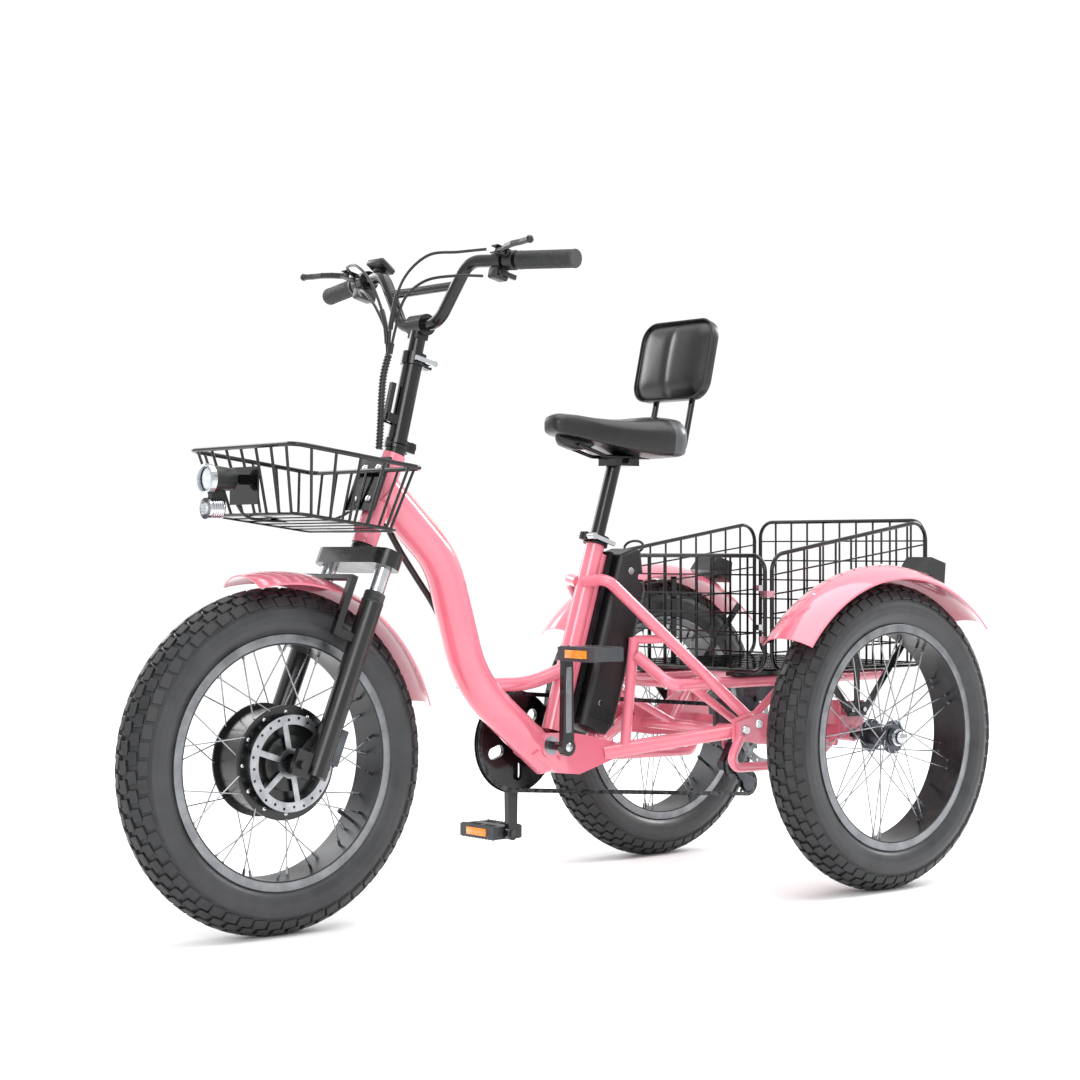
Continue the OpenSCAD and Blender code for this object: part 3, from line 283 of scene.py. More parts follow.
# %% Finish the engineering model's own parts
node_finish = {
    pink_enamel: ["main_frame", "rear_frame", "rear_fenders", "front_fender"],
    black_enamel: ["rear_basket", "front_basket", "handlepost", "backrest_frame", "handlebar", "stem",
                   "stem_base", "fender_stays", "chainring", "crankset", "seatpost"],
    black_powder: ["fork_crown", "fork_lowers", "hub_motor", "fold_latch"],
    polished_chrome: ["fasteners", "seat_lever", "height_lever"],
    stainless_wire: ["front_spokes", "left_spokes", "right_spokes"],
    ground_steel: ["bearings", "front_rotor", "rear_rotor"],
    oiled_steel: ["chain", "cassette"],
    grey_alloy: ["derailleur", "rear_caliper", "front_caliper", "left_hub", "right_hub"],
    black_alloy: ["battery_rail", "seat_collar", "left_brake_lever", "right_brake_lever"],
    rim_alloy: ["front_rim", "left_rim", "right_rim"],
    tread_rubber: ["front_tyre", "left_tyre", "right_tyre"],
    grip_rubber: ["grips"],
    black_abs: ["battery", "controls", "throttle", "shift_lever", "guide_pulley", "tension_pulley",
                "tail_lights", "headlight"],
    grey_nylon: ["left_pedal", "right_pedal"],
    cable_pvc: ["frame_cables", "bar_cables"],
    seat_vinyl: ["saddle", "backrest_pad"],
}
for material, names in node_finish.items():
    for name in names:
        nodes[name].data.materials.clear()
        nodes[name].data.materials.append(material)
print("finished nodes", sum(len(n) for n in node_finish.values()))

# %% Bright stanchions below the black fork crown
stanchion_mesh = nodes["fork_crown"].data
stanchion_mesh.materials.append(polished_chrome)
crown_underside = steer_frame @ Vector((0, 0, 0.3445))
steering_axis = steer_frame.to_3x3() @ Vector((0, 0, 1))
for face in stanchion_mesh.polygons:
    if (face.center - crown_underside).dot(steering_axis) < 0:
        face.material_index = 1
print("stanchion faces", sum(f.material_index for f in stanchion_mesh.polygons))

# %% Soften the edges of the castings
# A cast or pressed edge has a small radius that catches the light.
castings = ("fork_crown", "headlight", "derailleur", "front_caliper", "rear_caliper", "seat_collar",
            "fold_latch", "handlepost", "tail_lights")
for name in castings:
    soft_edge = nodes[name].modifiers.new("soft_edge", "BEVEL")
    soft_edge.width = 0.0012
    soft_edge.segments = 2
    soft_edge.limit_method = "ANGLE"
    soft_edge.angle_limit = math.radians(50)
    soft_edge.harden_normals = False
print("softened", len(castings))

# %% [markdown]
# ## Tyres
# A fat tyre is a smooth carcass with moulded blocks standing on it. The
# carcass is one half-outline spun about the axle, with ridges for the rings
# that a mould leaves on the sidewall. Each block is a bevelled cube turned
# to its own place: six rows round the crown, staggered like the real tread.

# %% The smooth carcass
TYRE_CENTRE = 0.2395
CARCASS = 0.0438


def carcass_outline():
    outline = []
    for degrees in range(-126, 127, 6):
        turn = math.radians(degrees)
        ridge = 0.0009 if abs(degrees) in (84, 102, 114) else 0.0
        reach = CARCASS + ridge
        outline.append((reach * 1.04 * math.sin(turn), TYRE_CENTRE + reach * math.cos(turn)))
    outline += [(0.0335, 0.2065), (0.030, 0.2070), (0.026, 0.222), (0.0, 0.262)]
    outline += [(-0.026, 0.222), (-0.030, 0.2070), (-0.0335, 0.2065)]
    return outline


def spun_about_x(bm, outline, steps):
    """Spins a closed outline, given as distance along the axle and radius."""
    corners = [bm.verts.new((x, 0, r)) for x, r in outline]
    edges = [bm.edges.new((a, b)) for a, b in zip(corners, corners[1:] + corners[:1])]
    bmesh.ops.spin(bm, geom=corners + edges, cent=(0, 0, 0), axis=(1, 0, 0),
                   angle=math.tau, steps=steps, use_merge=True)
    bmesh.ops.remove_doubles(bm, verts=bm.verts, dist=1e-5)
    bmesh.ops.recalc_face_normals(bm, faces=bm.faces)


print("outline points", len(carcass_outline()))

# %% Tread blocks on the crown and shoulders
# Each row: angle round the carcass, width, length, reach of the block's top
# from the carcass centre, and shift along the row in parts of a block
TREAD_ROWS = [(11, 0.0150, 0.0225, 0.0485, 0.0),
              (33, 0.0150, 0.0215, 0.0484, 0.5),
              (55, 0.0165, 0.0245, 0.0482, 0.0)]
BLOCKS = 58


def add_tread(bm):
    made = []
    for side in (-1, 1):
        for degrees, width, length, top, shift in TREAD_ROWS:
            for i in range(BLOCKS):
                turn = math.tau * (i + shift + (0.25 if side > 0 else 0.0)) / BLOCKS
                place = (Matrix.Rotation(turn, 4, "X") @ Matrix.Translation((0, 0, TYRE_CENTRE))
                         @ Matrix.Rotation(math.radians(side * degrees), 4, "Y")
                         @ Matrix.Translation((0, 0, (CARCASS + top) / 2 - 0.0007))
                         @ Matrix.Rotation(math.radians(side * 7), 4, "Z")
                         @ Matrix.Diagonal((width, length, top - CARCASS + 0.0010, 1)))
                made += bmesh.ops.create_cube(bm, size=1.0, matrix=place)["verts"]
    edges = {e for v in made for e in v.link_edges}
    bmesh.ops.bevel(bm, geom=list(edges), offset=0.0011, segments=1, profile=0.5,
                    affect="EDGES", material=-1)
    return len(made) // 8


def tyre(name, x, y, body, replaced):
    bm = bmesh.new()
    blocks = add_tread(bm)
    skin = bmesh.new()
    spun_about_x(skin, carcass_outline(), 120)
    holder = bpy.data.meshes.new("carcass")
    skin.to_mesh(holder)
    skin.free()
    bm.from_mesh(holder)
    bpy.data.meshes.remove(holder)
    bmesh.ops.translate(bm, verts=bm.verts, vec=(x, y, WHEEL_HEIGHT))
    print(name, "tread blocks", blocks, "faces", len(bm.faces))
    piece = finished(name, bm, tread_rubber, body, [replaced], smooth=35)
    # Faces near the rim take the lighter sidewall grey, a painted sheen.
    piece.data.materials.append(sidewall_rubber_with_painted_sheen)
    for face in piece.data.polygons:
        from_axle = math.hypot(face.center.y - y, face.center.z - WHEEL_HEIGHT)
        if from_axle < TYRE_CENTRE + 0.012:
            face.material_index = 1


tyre("front_tyre_tread", 0, -REAR_AXLE, "front_wheel", "front_tyre")
tyre("left_tyre_tread", HALF_TRACK, REAR_AXLE, "left_wheel", "left_tyre")
tyre("right_tyre_tread", -HALF_TRACK, REAR_AXLE, "right_wheel", "right_tyre")

# %% Machined lips on the rims
# The brake-side edge of a painted rim is left as bright turned metal.
turned_alloy = surface("turned_rim_lip_alloy", "#8C8E91", "#74767A", 0.34, metal=0.8, blotch_mm=30,
                       grain_mm=0.6, bump=0.1)


def rim_lips(name, x, y, body):
    bm = bmesh.new()
    for side in (-1, 1):
        lip = [(0.0342, 0.2090), (0.0345, 0.2112), (0.0385, 0.2112), (0.0390, 0.2104),
               (0.0390, 0.1975), (0.0383, 0.1970), (0.0378, 0.2090)]
        spun_about_x(bm, [(side * x_from_middle, radius) for x_from_middle, radius in lip], 120)
    bmesh.ops.translate(bm, verts=bm.verts, vec=(x, y, WHEEL_HEIGHT))
    finished(name, bm, turned_alloy, body, smooth=35)


rim_lips("front_rim_lips", 0, -REAR_AXLE, "front_wheel")
rim_lips("left_rim_lips", HALF_TRACK, REAR_AXLE, "left_wheel")
rim_lips("right_rim_lips", -HALF_TRACK, REAR_AXLE, "right_wheel")
print("rim lips", 6)

# %% [markdown]
# ## Turned parts
# Grips, hub caps, the horn and bolt heads are all turned on a lathe or
# moulded round a core. One helper spins an open outline about its own axis
# and a matrix stands the result in place.

# %% A lathe
def turned(bm, outline, place, steps=40):
    """Spins (radius, height) points about the matrix's z axis; ends on the axis are closed."""
    lathe = bmesh.new()
    corners = [lathe.verts.new((r, 0, z)) for r, z in outline]
    edges = [lathe.edges.new((a, b)) for a, b in zip(corners, corners[1:])]
    bmesh.ops.spin(lathe, geom=corners + edges, cent=(0, 0, 0), axis=(0, 0, 1),
                   angle=math.tau, steps=steps, use_merge=True)
    bmesh.ops.remove_doubles(lathe, verts=lathe.verts, dist=1e-6)
    bmesh.ops.recalc_face_normals(lathe, faces=lathe.faces)
    bmesh.ops.transform(lathe, matrix=place, verts=lathe.verts)
    holder = bpy.data.meshes.new("lathe")
    lathe.to_mesh(holder)
    lathe.free()
    bm.from_mesh(holder)
    bpy.data.meshes.remove(holder)


def facing(point, direction):
    """A matrix at point whose z axis looks along direction."""
    return Matrix.Translation(point) @ Vector(direction).to_track_quat("Z", "Y").to_matrix().to_4x4()


def bevelled_box(bm, centre, size, bevel, place=Matrix.Identity(4), segments=2):
    stretched = place @ Matrix.Translation(centre) @ Matrix.Diagonal((*size, 1))
    made = bmesh.ops.create_cube(bm, size=1.0, matrix=stretched)
    edges = {e for v in made["verts"] for e in v.link_edges}
    bmesh.ops.bevel(bm, geom=list(edges), offset=bevel, segments=segments, profile=0.5,
                    affect="EDGES", material=-1)


print("lathe ready")

# %% Ribbed rubber grips
# The bar's straight end, in the leaning frame of the folding post.
bar_tip = Vector((0.353, 0.030, 0.326))
bar_along = (bar_tip - Vector((0.124, -0.014, 0.330))).normalized()


def mirrored(v, side):
    return Vector((v[0] * side, v[1], v[2]))


def on_bar(distance, side=1):
    return mirrored(bar_tip - bar_along * distance, side)


def grip_outline():
    outline = [(0.0, -0.0035), (0.0150, -0.0035), (0.0160, -0.0020), (0.0160, 0.0005)]
    for i in range(20):
        start = 0.004 + i * 0.0054
        outline += [(0.0147, start), (0.0147, start + 0.0016)]
        outline += [(0.0156, start + 0.0024), (0.0156, start + 0.0046)]
    outline += [(0.0160, 0.1135), (0.0160, 0.1175), (0.0152, 0.1180), (0.0111, 0.1180)]
    return outline


grip_bm = bmesh.new()
for side in (-1, 1):
    turned(grip_bm, grip_outline(), post_frame @ facing(on_bar(0, side), -mirrored(bar_along, side)), 36)
finished("ribbed_grips", grip_bm, grip_rubber, "bar", ["grips"], smooth=30)
print("grips", 2)

# %% Lever clamps, switch boxes and the display
LEVER_AT = 0.136


def clamp_ring(bm, distance, side, half, radius):
    lip = 0.0012
    turned(bm, [(0.0111, -half), (radius - lip, -half), (radius, lip - half), (radius, half - lip),
                (radius - lip, half), (0.0111, half), (0.0111, -half)],
           post_frame @ facing(on_bar(distance, side), mirrored(bar_along, side)), 32)


control_bm = bmesh.new()
for side, offset, half, radius, box, low in ((1, 0.025, 0.009, 0.018, (0.024, 0.030, 0.020), -0.024),
                                             (-1, 0.026, 0.010, 0.019, (0.028, 0.036, 0.022), -0.025)):
    clamp_ring(control_bm, LEVER_AT, side, 0.010, 0.017)
    clamp_ring(control_bm, LEVER_AT + offset, side, half, radius)
    at_lever, at_switch = on_bar(LEVER_AT, side), on_bar(LEVER_AT + offset, side)
    for cheek_height in (0.0125, 0.0005):
        cheek = at_lever + Vector((0, -0.027, cheek_height))
        bevelled_box(control_bm, cheek, (0.019, 0.030, 0.0025), 0.001, post_frame)
    perch = at_lever + Vector((0, -0.0165, 0.0060))
    bevelled_box(control_bm, perch, (0.019, 0.009, 0.0140), 0.003, post_frame)
    bevelled_box(control_bm, at_switch + Vector((0, 0.001, low)), box, 0.0045, post_frame, 3)
display_place = (post_frame @ Matrix.Translation(on_bar(LEVER_AT + 0.066, -1))
                 @ Matrix.Rotation(math.radians(-22), 4, "X"))
bevelled_box(control_bm, (0, -0.004, 0.0225), (0.047, 0.038, 0.013), 0.0045, display_place, 3)
bevelled_box(control_bm, (0, -0.002, 0.0135), (0.016, 0.018, 0.008), 0.002, display_place)
finished("control_housings", control_bm, black_abs, "bar", ["controls"])
print("control housings", 2)

# %% Curved brake levers with ball ends
LEVER_PIN = [(0.0, 0.0068), (0.0034, 0.0068), (0.0042, 0.0058),
             (0.0042, -0.0058), (0.0034, -0.0068), (0.0, -0.0068)]
for side, name in ((1, "left"), (-1, "right")):
    pivot = on_bar(LEVER_AT, side) + Vector((0, -0.034, 0.006))
    blade = [(0, 1, 0), (16, -1, 0), (34, -9, 0), (58, -15, 0), (84, -17, 0), (104, -20, 0), (110, -21, 0)]
    lever_bm = bmesh.new()
    for height in (-0.0014, 0.0014):
        lift = Vector((0, 0, height))
        route = [post_frame @ (pivot + mirrored(Vector(p) / 1000, side) + lift) for p in blade]
        for a, b in zip(route, route[1:]):
            span = b - a
            bmesh.ops.create_cone(lever_bm, cap_ends=True, segments=14, radius1=0.0042, radius2=0.0040,
                                  depth=span.length + 0.002, matrix=facing((a + b) / 2, span))
    ball = Matrix.Translation(pivot + mirrored((0.110, -0.021, 0), side))
    bmesh.ops.create_icosphere(lever_bm, subdivisions=3, radius=0.0068, matrix=post_frame @ ball)
    turned(lever_bm, LEVER_PIN, post_frame @ facing(pivot, (0, 0, 1)), 20)
    lever_body = name + "_brake_lever"
    finished(name + "_lever_blade", lever_bm, black_powder, lever_body, [lever_body])
print("lever blades", 2)

# %% Ribbed dust seals on top of the fork legs
LEG_OFFSET, LEG_TOP = 0.080, 0.2811
seal_bm = bmesh.new()
seal = [(0.0143, 0.0), (0.0188, 0.0), (0.0192, 0.0015), (0.0192, 0.0035)]
for k in range(4):
    seal += [(0.0176, 0.0045 + 0.0034 * k), (0.0184, 0.0060 + 0.0034 * k), (0.0178, 0.0075 + 0.0034 * k)]
seal += [(0.0160, 0.0195), (0.0143, 0.0200)]
for side in (-1, 1):
    turned(seal_bm, seal, steer_frame @ facing((side * LEG_OFFSET, 0, LEG_TOP), (0, 0, 1)), 32)
finished("fork_dust_seals", seal_bm, grip_rubber, "fork_lowers")
print("dust seals", 2)

# %% Domed caps on the rear hubs and the motor's bolts
HUB_FACE = 0.0265    # the hub's outer face, from the middle of the wheel
dome = [(0.0, 0.030), (0.006, 0.0293), (0.0110, 0.0265), (0.0135, 0.0215),
        (0.0138, 0.0150), (0.0162, 0.0145), (0.0165, 0.0)]
for side, name in ((1, "left"), (-1, "right")):
    cap_bm = bmesh.new()
    turned(cap_bm, dome, facing((side * (HALF_TRACK + HUB_FACE), REAR_AXLE, WHEEL_HEIGHT), (side, 0, 0)))
    finished(name + "_hub_cap", cap_bm, polished_chrome, name + "_wheel")

MOTOR_COVER, BOLT_CIRCLE, BOLTS = 0.0380, 0.084, 12
bolt_bm = bmesh.new()
button = [(0.0, 0.0022), (0.0022, 0.0020), (0.0036, 0.0008), (0.0038, 0.0)]
for side in (-1, 1):
    for i in range(BOLTS):
        turn = math.tau * i / BOLTS
        spot = Vector((side * MOTOR_COVER, BOLT_CIRCLE * math.sin(turn), BOLT_CIRCLE * math.cos(turn)))
        turned(bolt_bm, button, facing(spot + Vector((0, -REAR_AXLE, WHEEL_HEIGHT)), (side, 0, 0)), 10)
finished("motor_cover_bolts", bolt_bm, polished_chrome, "front_wheel")
print("hub caps 2, motor bolts 24")

# %% [markdown]
# ## Saddle
# A comfort saddle is moulded foam under stretched vinyl: a slim nose that
# widens into two seat pads, with a level top and a deep rear skirt. It is
# lofted: oval loops at stations along its length, each flattened where the
# foam is flat, are bridged one to the next and then smoothed.

# %% Loft through oval stations
def lofted(bm, stations, around=32, skirt=0.45):
    """Stations: (y, half width, low z, high z). Ovals stand across y; ends are filled."""
    loops = []
    for y, half, z_low, z_high in stations:
        place = (Matrix.Translation((0, y, (z_low + z_high) / 2))
                 @ Matrix.Diagonal((half, 1, (z_high - z_low) / 2, 1))
                 @ Matrix.Rotation(math.radians(90), 4, "X"))
        ring = bmesh.ops.create_circle(bm, cap_ends=False, segments=around, radius=1.0, matrix=place)["verts"]
        for v in ring:
            across = v.co.x / half
            height = (v.co.z - (z_low + z_high) / 2) / ((z_high - z_low) / 2)
            square = max(abs(across), abs(height)) ** (0.30 if height > 0 else skirt)
            v.co.x = half * across / max(square, 0.2)
            v.co.z = (z_low + z_high) / 2 + (z_high - z_low) / 2 * height / max(square, 0.2)
            v.co.x = max(-half, min(half, v.co.x))
            v.co.z = max(z_low, min(z_high, v.co.z))
        loops.append(ring)
    for a, b in zip(loops, loops[1:]):
        ring_a = [e for e in bm.edges if e.verts[0] in a and e.verts[1] in a]
        ring_b = [e for e in bm.edges if e.verts[0] in b and e.verts[1] in b]
        bmesh.ops.bridge_loops(bm, edges=ring_a + ring_b)
    for ring in (loops[0], loops[-1]):
        bmesh.ops.contextual_create(bm, geom=ring)
    bmesh.ops.recalc_face_normals(bm, faces=bm.faces)


SADDLE_FRONT = REAR_AXLE - 0.552
saddle_stations = [(0.000, 0.010, 0.862, 0.876), (0.004, 0.020, 0.854, 0.884), (0.020, 0.028, 0.848, 0.889),
                   (0.055, 0.033, 0.842, 0.888), (0.095, 0.043, 0.834, 0.884), (0.135, 0.063, 0.825, 0.882),
                   (0.170, 0.085, 0.817, 0.883), (0.205, 0.102, 0.811, 0.887), (0.238, 0.106, 0.809, 0.890),
                   (0.257, 0.099, 0.813, 0.889), (0.266, 0.080, 0.826, 0.882)]
saddle_bm = bmesh.new()
fine_stations = []
for first, second in zip(saddle_stations, saddle_stations[1:]):
    count = max(int((second[0] - first[0]) / 0.007), 1)
    fine_stations += [tuple(a + (b - a) * k / count for a, b in zip(first, second)) for k in range(count)]
fine_stations.append(saddle_stations[-1])
lofted(saddle_bm, [(SADDLE_FRONT + y, w, a, b) for y, w, a, b in fine_stations], 56, 0.85)
saddle_piece = finished("vinyl_saddle", saddle_bm, seat_vinyl, "seat", ["saddle"], smooth=60)
saddle_piece.data.materials.append(grey_vinyl)
for face in saddle_piece.data.polygons:
    back = face.center.y - SADDLE_FRONT
    if abs(face.center.x) > 0.050 and back > 0.222:
        face.material_index = 1
round_off = saddle_piece.modifiers.new("round_off", "SUBSURF")
round_off.levels = round_off.render_levels = 1
print("saddle stations", len(saddle_stations))

# %% Bumper wedge under the nose
bumper_bm = bmesh.new()
lofted(bumper_bm, [(SADDLE_FRONT + y, w, a, b) for y, w, a, b in
                   [(0.020, 0.006, 0.838, 0.850), (0.030, 0.014, 0.829, 0.850), (0.055, 0.018, 0.822, 0.848),
                    (0.085, 0.020, 0.823, 0.846), (0.100, 0.014, 0.830, 0.844)]], 20)
finished("saddle_nose_bumper", bumper_bm, black_abs, "seat", smooth=50)
print("bumper made")

# %% [markdown]
# ## Backrest pad
# The pad is foam in vinyl on a board: a rounded rectangle, crowned in front,
# with one sewn seam down the middle and a piped edge. A cube is cut into a
# grid and pressed into that form; the piping is a tube along its rim.

# %% Crowned pad with a centre seam
pad_place = Matrix.Translation((0, REAR_AXLE - 0.232, 1.000)) @ Matrix.Rotation(math.radians(-13), 4, "X")
PAD_HALF_W, PAD_HALF_H, PAD_CORNER = 0.098, 0.078, 0.036


def rounded_reach(u, v):
    """Where the direction (u, v), on the edge of a square, meets the pad's rounded rim."""
    x, z = u * PAD_HALF_W, v * PAD_HALF_H
    over_x, over_z = abs(x) - (PAD_HALF_W - PAD_CORNER), abs(z) - (PAD_HALF_H - PAD_CORNER)
    if over_x > 0 and over_z > 0:
        stretch = max(over_x, over_z) / math.hypot(over_x, over_z)
        x = math.copysign(PAD_HALF_W - PAD_CORNER + over_x * stretch, x)
        z = math.copysign(PAD_HALF_H - PAD_CORNER + over_z * stretch, z)
    return x, z


pad_bm = bmesh.new()
bmesh.ops.create_cube(pad_bm, size=2.0)
bmesh.ops.subdivide_edges(pad_bm, edges=pad_bm.edges[:], cuts=23, use_grid_fill=True)
for v in pad_bm.verts:
    u, w = v.co.x, v.co.z
    x, z = rounded_reach(u, w)
    edge = max(abs(u), abs(w))
    crown = (1 - abs(u) ** 2.6) * (1 - abs(w) ** 2.6)
    if v.co.y < 0:
        front = 0.010 + 0.016 * crown ** 0.6 - 0.0052 * math.exp(-(x / 0.0035) ** 2) * (1 - abs(w) ** 6)
        y = -front
    else:
        y = 0.012 + 0.003 * crown ** 0.5
    y *= max(min(1.0, (1.06 - edge ** 6)), 0.1) if abs(v.co.y) > 0.999 else 1.0
    if abs(v.co.y) < 0.999:
        y = v.co.y * 0.010
        bulge = 1 + 0.012 * (1 - v.co.y ** 2)
        x, z = x * bulge, z * bulge
    v.co = (x, y, z)
bmesh.ops.smooth_vert(pad_bm, verts=pad_bm.verts, factor=0.4,
                      use_axis_x=True, use_axis_y=True, use_axis_z=True)
bmesh.ops.recalc_face_normals(pad_bm, faces=pad_bm.faces)
bmesh.ops.transform(pad_bm, matrix=pad_place, verts=pad_bm.verts)
pad_piece = finished("vinyl_backrest_pad", pad_bm, seat_vinyl, "seat",
                     ["backrest_pad"], smooth=70)
round_off = pad_piece.modifiers.new("round_off", "SUBSURF")
round_off.levels = round_off.render_levels = 1
print("pad vertices", len(pad_piece.data.vertices))

# %% [markdown]
# ## Cables, piping and thread
# Anything long and round is a curve with a round bevel, made into a mesh in
# the end. The route passes smoothly through a few chosen points, as a cable
# does between its clips. The wrapped bundle has a helix wound round it.

# %% Smooth routes
def smooth_route(points, steps=8):
    """A Catmull-Rom path through the points."""
    pts = [Vector(p) for p in points]
    route = []
    for i in range(len(pts) - 1):
        a, b, c, d = pts[max(i - 1, 0)], pts[i], pts[i + 1], pts[min(i + 2, len(pts) - 1)]
        for k in range(steps):
            t = k / steps
            route.append(0.5 * (2 * b + (c - a) * t + (2 * a - 5 * b + 4 * c - d) * t * t
                                + (3 * b - a - 3 * c + d) * t ** 3))
    return route + [pts[-1]]


def tube(name, routes, material, body, replaces=(), closed=False):
    """routes: (diameter, points in metres). One mesh of round tubes."""
    mesh_bm = bmesh.new()
    for diameter, route in routes:
        data = bpy.data.curves.new("route", "CURVE")
        data.dimensions = "3D"
        data.bevel_depth = diameter / 2
        data.bevel_resolution = 3
        data.use_fill_caps = True
        spline = data.splines.new("POLY")
        spline.points.add(len(route) - 1)
        for point, place in zip(spline.points, route):
            point.co = (*place, 1)
        spline.use_cyclic_u = closed
        holder = bpy.data.objects.new("route", data)
        bpy.context.scene.collection.objects.link(holder)
        mesh = bpy.data.meshes.new_from_object(holder.evaluated_get(bpy.context.evaluated_depsgraph_get()))
        mesh_bm.from_mesh(mesh)
        bpy.data.objects.remove(holder)
        bpy.data.curves.remove(data)
        bpy.data.meshes.remove(mesh)
    bmesh.ops.remove_doubles(mesh_bm, verts=mesh_bm.verts, dist=1e-6)
    bmesh.ops.recalc_face_normals(mesh_bm, faces=mesh_bm.faces)
    finished(name, mesh_bm, material, body, replaces, smooth=50)


def millimetres(points, place=Matrix.Identity(4)):
    return [place @ (Vector(p) / 1000) for p in points]


# %% Bar cables, with the spiral wrap
bar_bundle = smooth_route(millimetres([(14, -62, 156), (14, -64, 120), (16, -60, 80), (17, -52, 36),
                                       (18, -45, -8)], post_frame), 12)
bar_feeders = [
    [(199, -37, 336), (160, -64, 326), (104, -86, 318), (52, -90, 278), (22, -76, 214), (16, -64, 158)],
    [(-199, -37, 336), (-160, -70, 330), (-96, -92, 318), (-40, -92, 282), (0, -76, 216), (12, -64, 158)],
    [(-176, -18, 296), (-140, -48, 290), (-86, -74, 276), (-36, -80, 246), (0, -70, 200), (12, -61, 158)],
    [(176, -16, 298), (140, -46, 292), (90, -70, 280), (48, -76, 250), (27, -68, 200), (16, -61, 158)]]
tube("bar_cable_sheaths", [(0.011, bar_bundle)] + [(0.005, smooth_route(millimetres(p, post_frame)))
                                                   for p in bar_feeders],
     cable_pvc, "bar", ["bar_cables"])


def helix_round(route, radius, pitch, steps=14):
    """Points that wind round a route, a full turn every pitch."""
    wound, travelled = [], 0.0
    side = (route[1] - route[0]).orthogonal().normalized()
    for a, b in zip(route, route[1:]):
        along = (b - a).normalized()
        side = (side - along * side.dot(along)).normalized()
        across = along.cross(side)
        length = (b - a).length
        count = max(int(length / pitch * steps), 1)
        for k in range(count):
            turn = math.tau * (travelled + length * k / count) / pitch
            wound.append(a + (b - a) * k / count + radius * (side * math.cos(turn) + across * math.sin(turn)))
        travelled += length
    return wound


tube("spiral_cable_wrap", [(0.0024, helix_round(bar_bundle, 0.0058, 0.0058))],
     cable_pvc, "bar")
# Each feeder has a moulded plug where it leaves the bundle
tube("cable_plugs", [(0.0088, smooth_route(millimetres(p, post_frame))[27 + 3 * i:35 + 3 * i])
                     for i, p in enumerate(bar_feeders)], black_abs, "bar")
print("bundle points", len(bar_bundle))

# %% Frame cables
frame_routes = [
    (0.012, [(-27, -372, 786), (-30, -352, 742), (-37, -322, 690), (-41, -288, 640), (-41, -250, 590),
             (-40, -212, 540), (-39, -184, 490), (-38, -166, 440), (-38, -154, 390)]),
    (0.005, [(-27, -369, 770), (-60, -372, 712), (-50, -430, 688), (-30, -520, 686), (-14, -610, 690),
             (-8, -640, 712)])]
tube("frame_cable_sheaths", [(d, smooth_route(millimetres(p))) for d, p in frame_routes],
     cable_pvc, "frame", ["frame_cables"])
print("frame cables", len(frame_routes))

# %% Yellow line along the upper side of the down tube
stripe = [(-302, 738), (-268, 706), (-234, 674), (-200, 632), (-179, 583)]
tube("down_tube_stripes", [(0.0036, smooth_route(millimetres([(x, y - 1.5, z - 1.5) for y, z in stripe])))
                           for x in (-10, 10)], yellow_enamel, "frame")
print("stripes", 2)

# %% Piping round the backrest pad
pad_rim = []
for i in range(96):
    turn = math.tau * i / 96
    u, w = math.cos(turn), math.sin(turn)
    scale = 1 / max(abs(u), abs(w))
    x, z = rounded_reach(u * scale, w * scale)
    pad_rim.append(pad_place @ Vector((x * 1.005, -0.0085, z * 1.005)))
tube("backrest_piping", [(0.0034, pad_rim)], black_abs, "seat", closed=True)
print("piping points", len(pad_rim))

# %% [markdown]
# ## Lamps
# The headlight is a short tub with a clear ribbed lens and a chrome horn
# under it. Its lens is turned, slightly domed, and set inside the rim. The
# tail lamps have red lenses let into their rear faces.

# %% Headlight lens, reflector rim and horn
LAMP_Y, LAMP_Z = -0.6685, 0.753
lens_bm = bmesh.new()
turned(lens_bm, [(0.0, 0.0045), (0.008, 0.0042), (0.015, 0.0028), (0.0203, 0.0), (0.0203, -0.003)],
       facing((0, LAMP_Y - 0.031, LAMP_Z), (0, -1, 0)), 48)
finished("headlight_lens", lens_bm, lamp_lens, "headlight")
rim_bm = bmesh.new()
bezel = [(0.0200, 0.0), (0.0204, 0.0042), (0.0222, 0.0052), (0.0244, 0.0040),
         (0.0248, 0.0), (0.0248, -0.006), (0.0240, -0.0065)]
turned(rim_bm, bezel, facing((0, LAMP_Y - 0.034, LAMP_Z), (0, -1, 0)), 48)
finished("headlight_bezel", rim_bm, polished_chrome, "headlight")
horn = [(0.0, 0.0015), (0.006, 0.0015), (0.007, 0.0)]
for i in range(5):
    horn += [(0.0095 + 0.0016 * i, 0.0), (0.0100 + 0.0016 * i, -0.0016 - 0.0002 * i)]
    horn += [(0.0110 + 0.0016 * i, 0.0004)]
horn += [(0.0176, -0.001), (0.0180, -0.004)]
for i in range(5):
    horn += [(radius, height - i * 0.0042) for radius, height in
             ((0.0180, -0.0060), (0.0174, -0.0068), (0.0174, -0.0080), (0.0180, -0.0088))]
horn += [(0.0170, -0.0285), (0.0, -0.0290)]
horn_bm = bmesh.new()
turned(horn_bm, horn, facing((0, LAMP_Y - 0.0365, LAMP_Z - 0.048), (0, -1, 0)), 48)
finished("chrome_horn", horn_bm, polished_chrome, "headlight")
print("headlight parts", 3)

# %% Tail lamp lenses
tail_bm = bmesh.new()
for side in (-1, 1):
    bevelled_box(tail_bm, (side * 0.2915, REAR_AXLE + 0.1765, 0.590), (0.050, 0.0035, 0.036), 0.0012)
finished("tail_lamp_lenses", tail_bm, red_lens, "frame")
print("tail lenses", 2)

# %% [markdown]
# ## Pedals and cranks
# Moulded pedals carry amber reflectors in their front and rear edges and a
# grid of grip pins. The crank arms have a bright bevelled face.

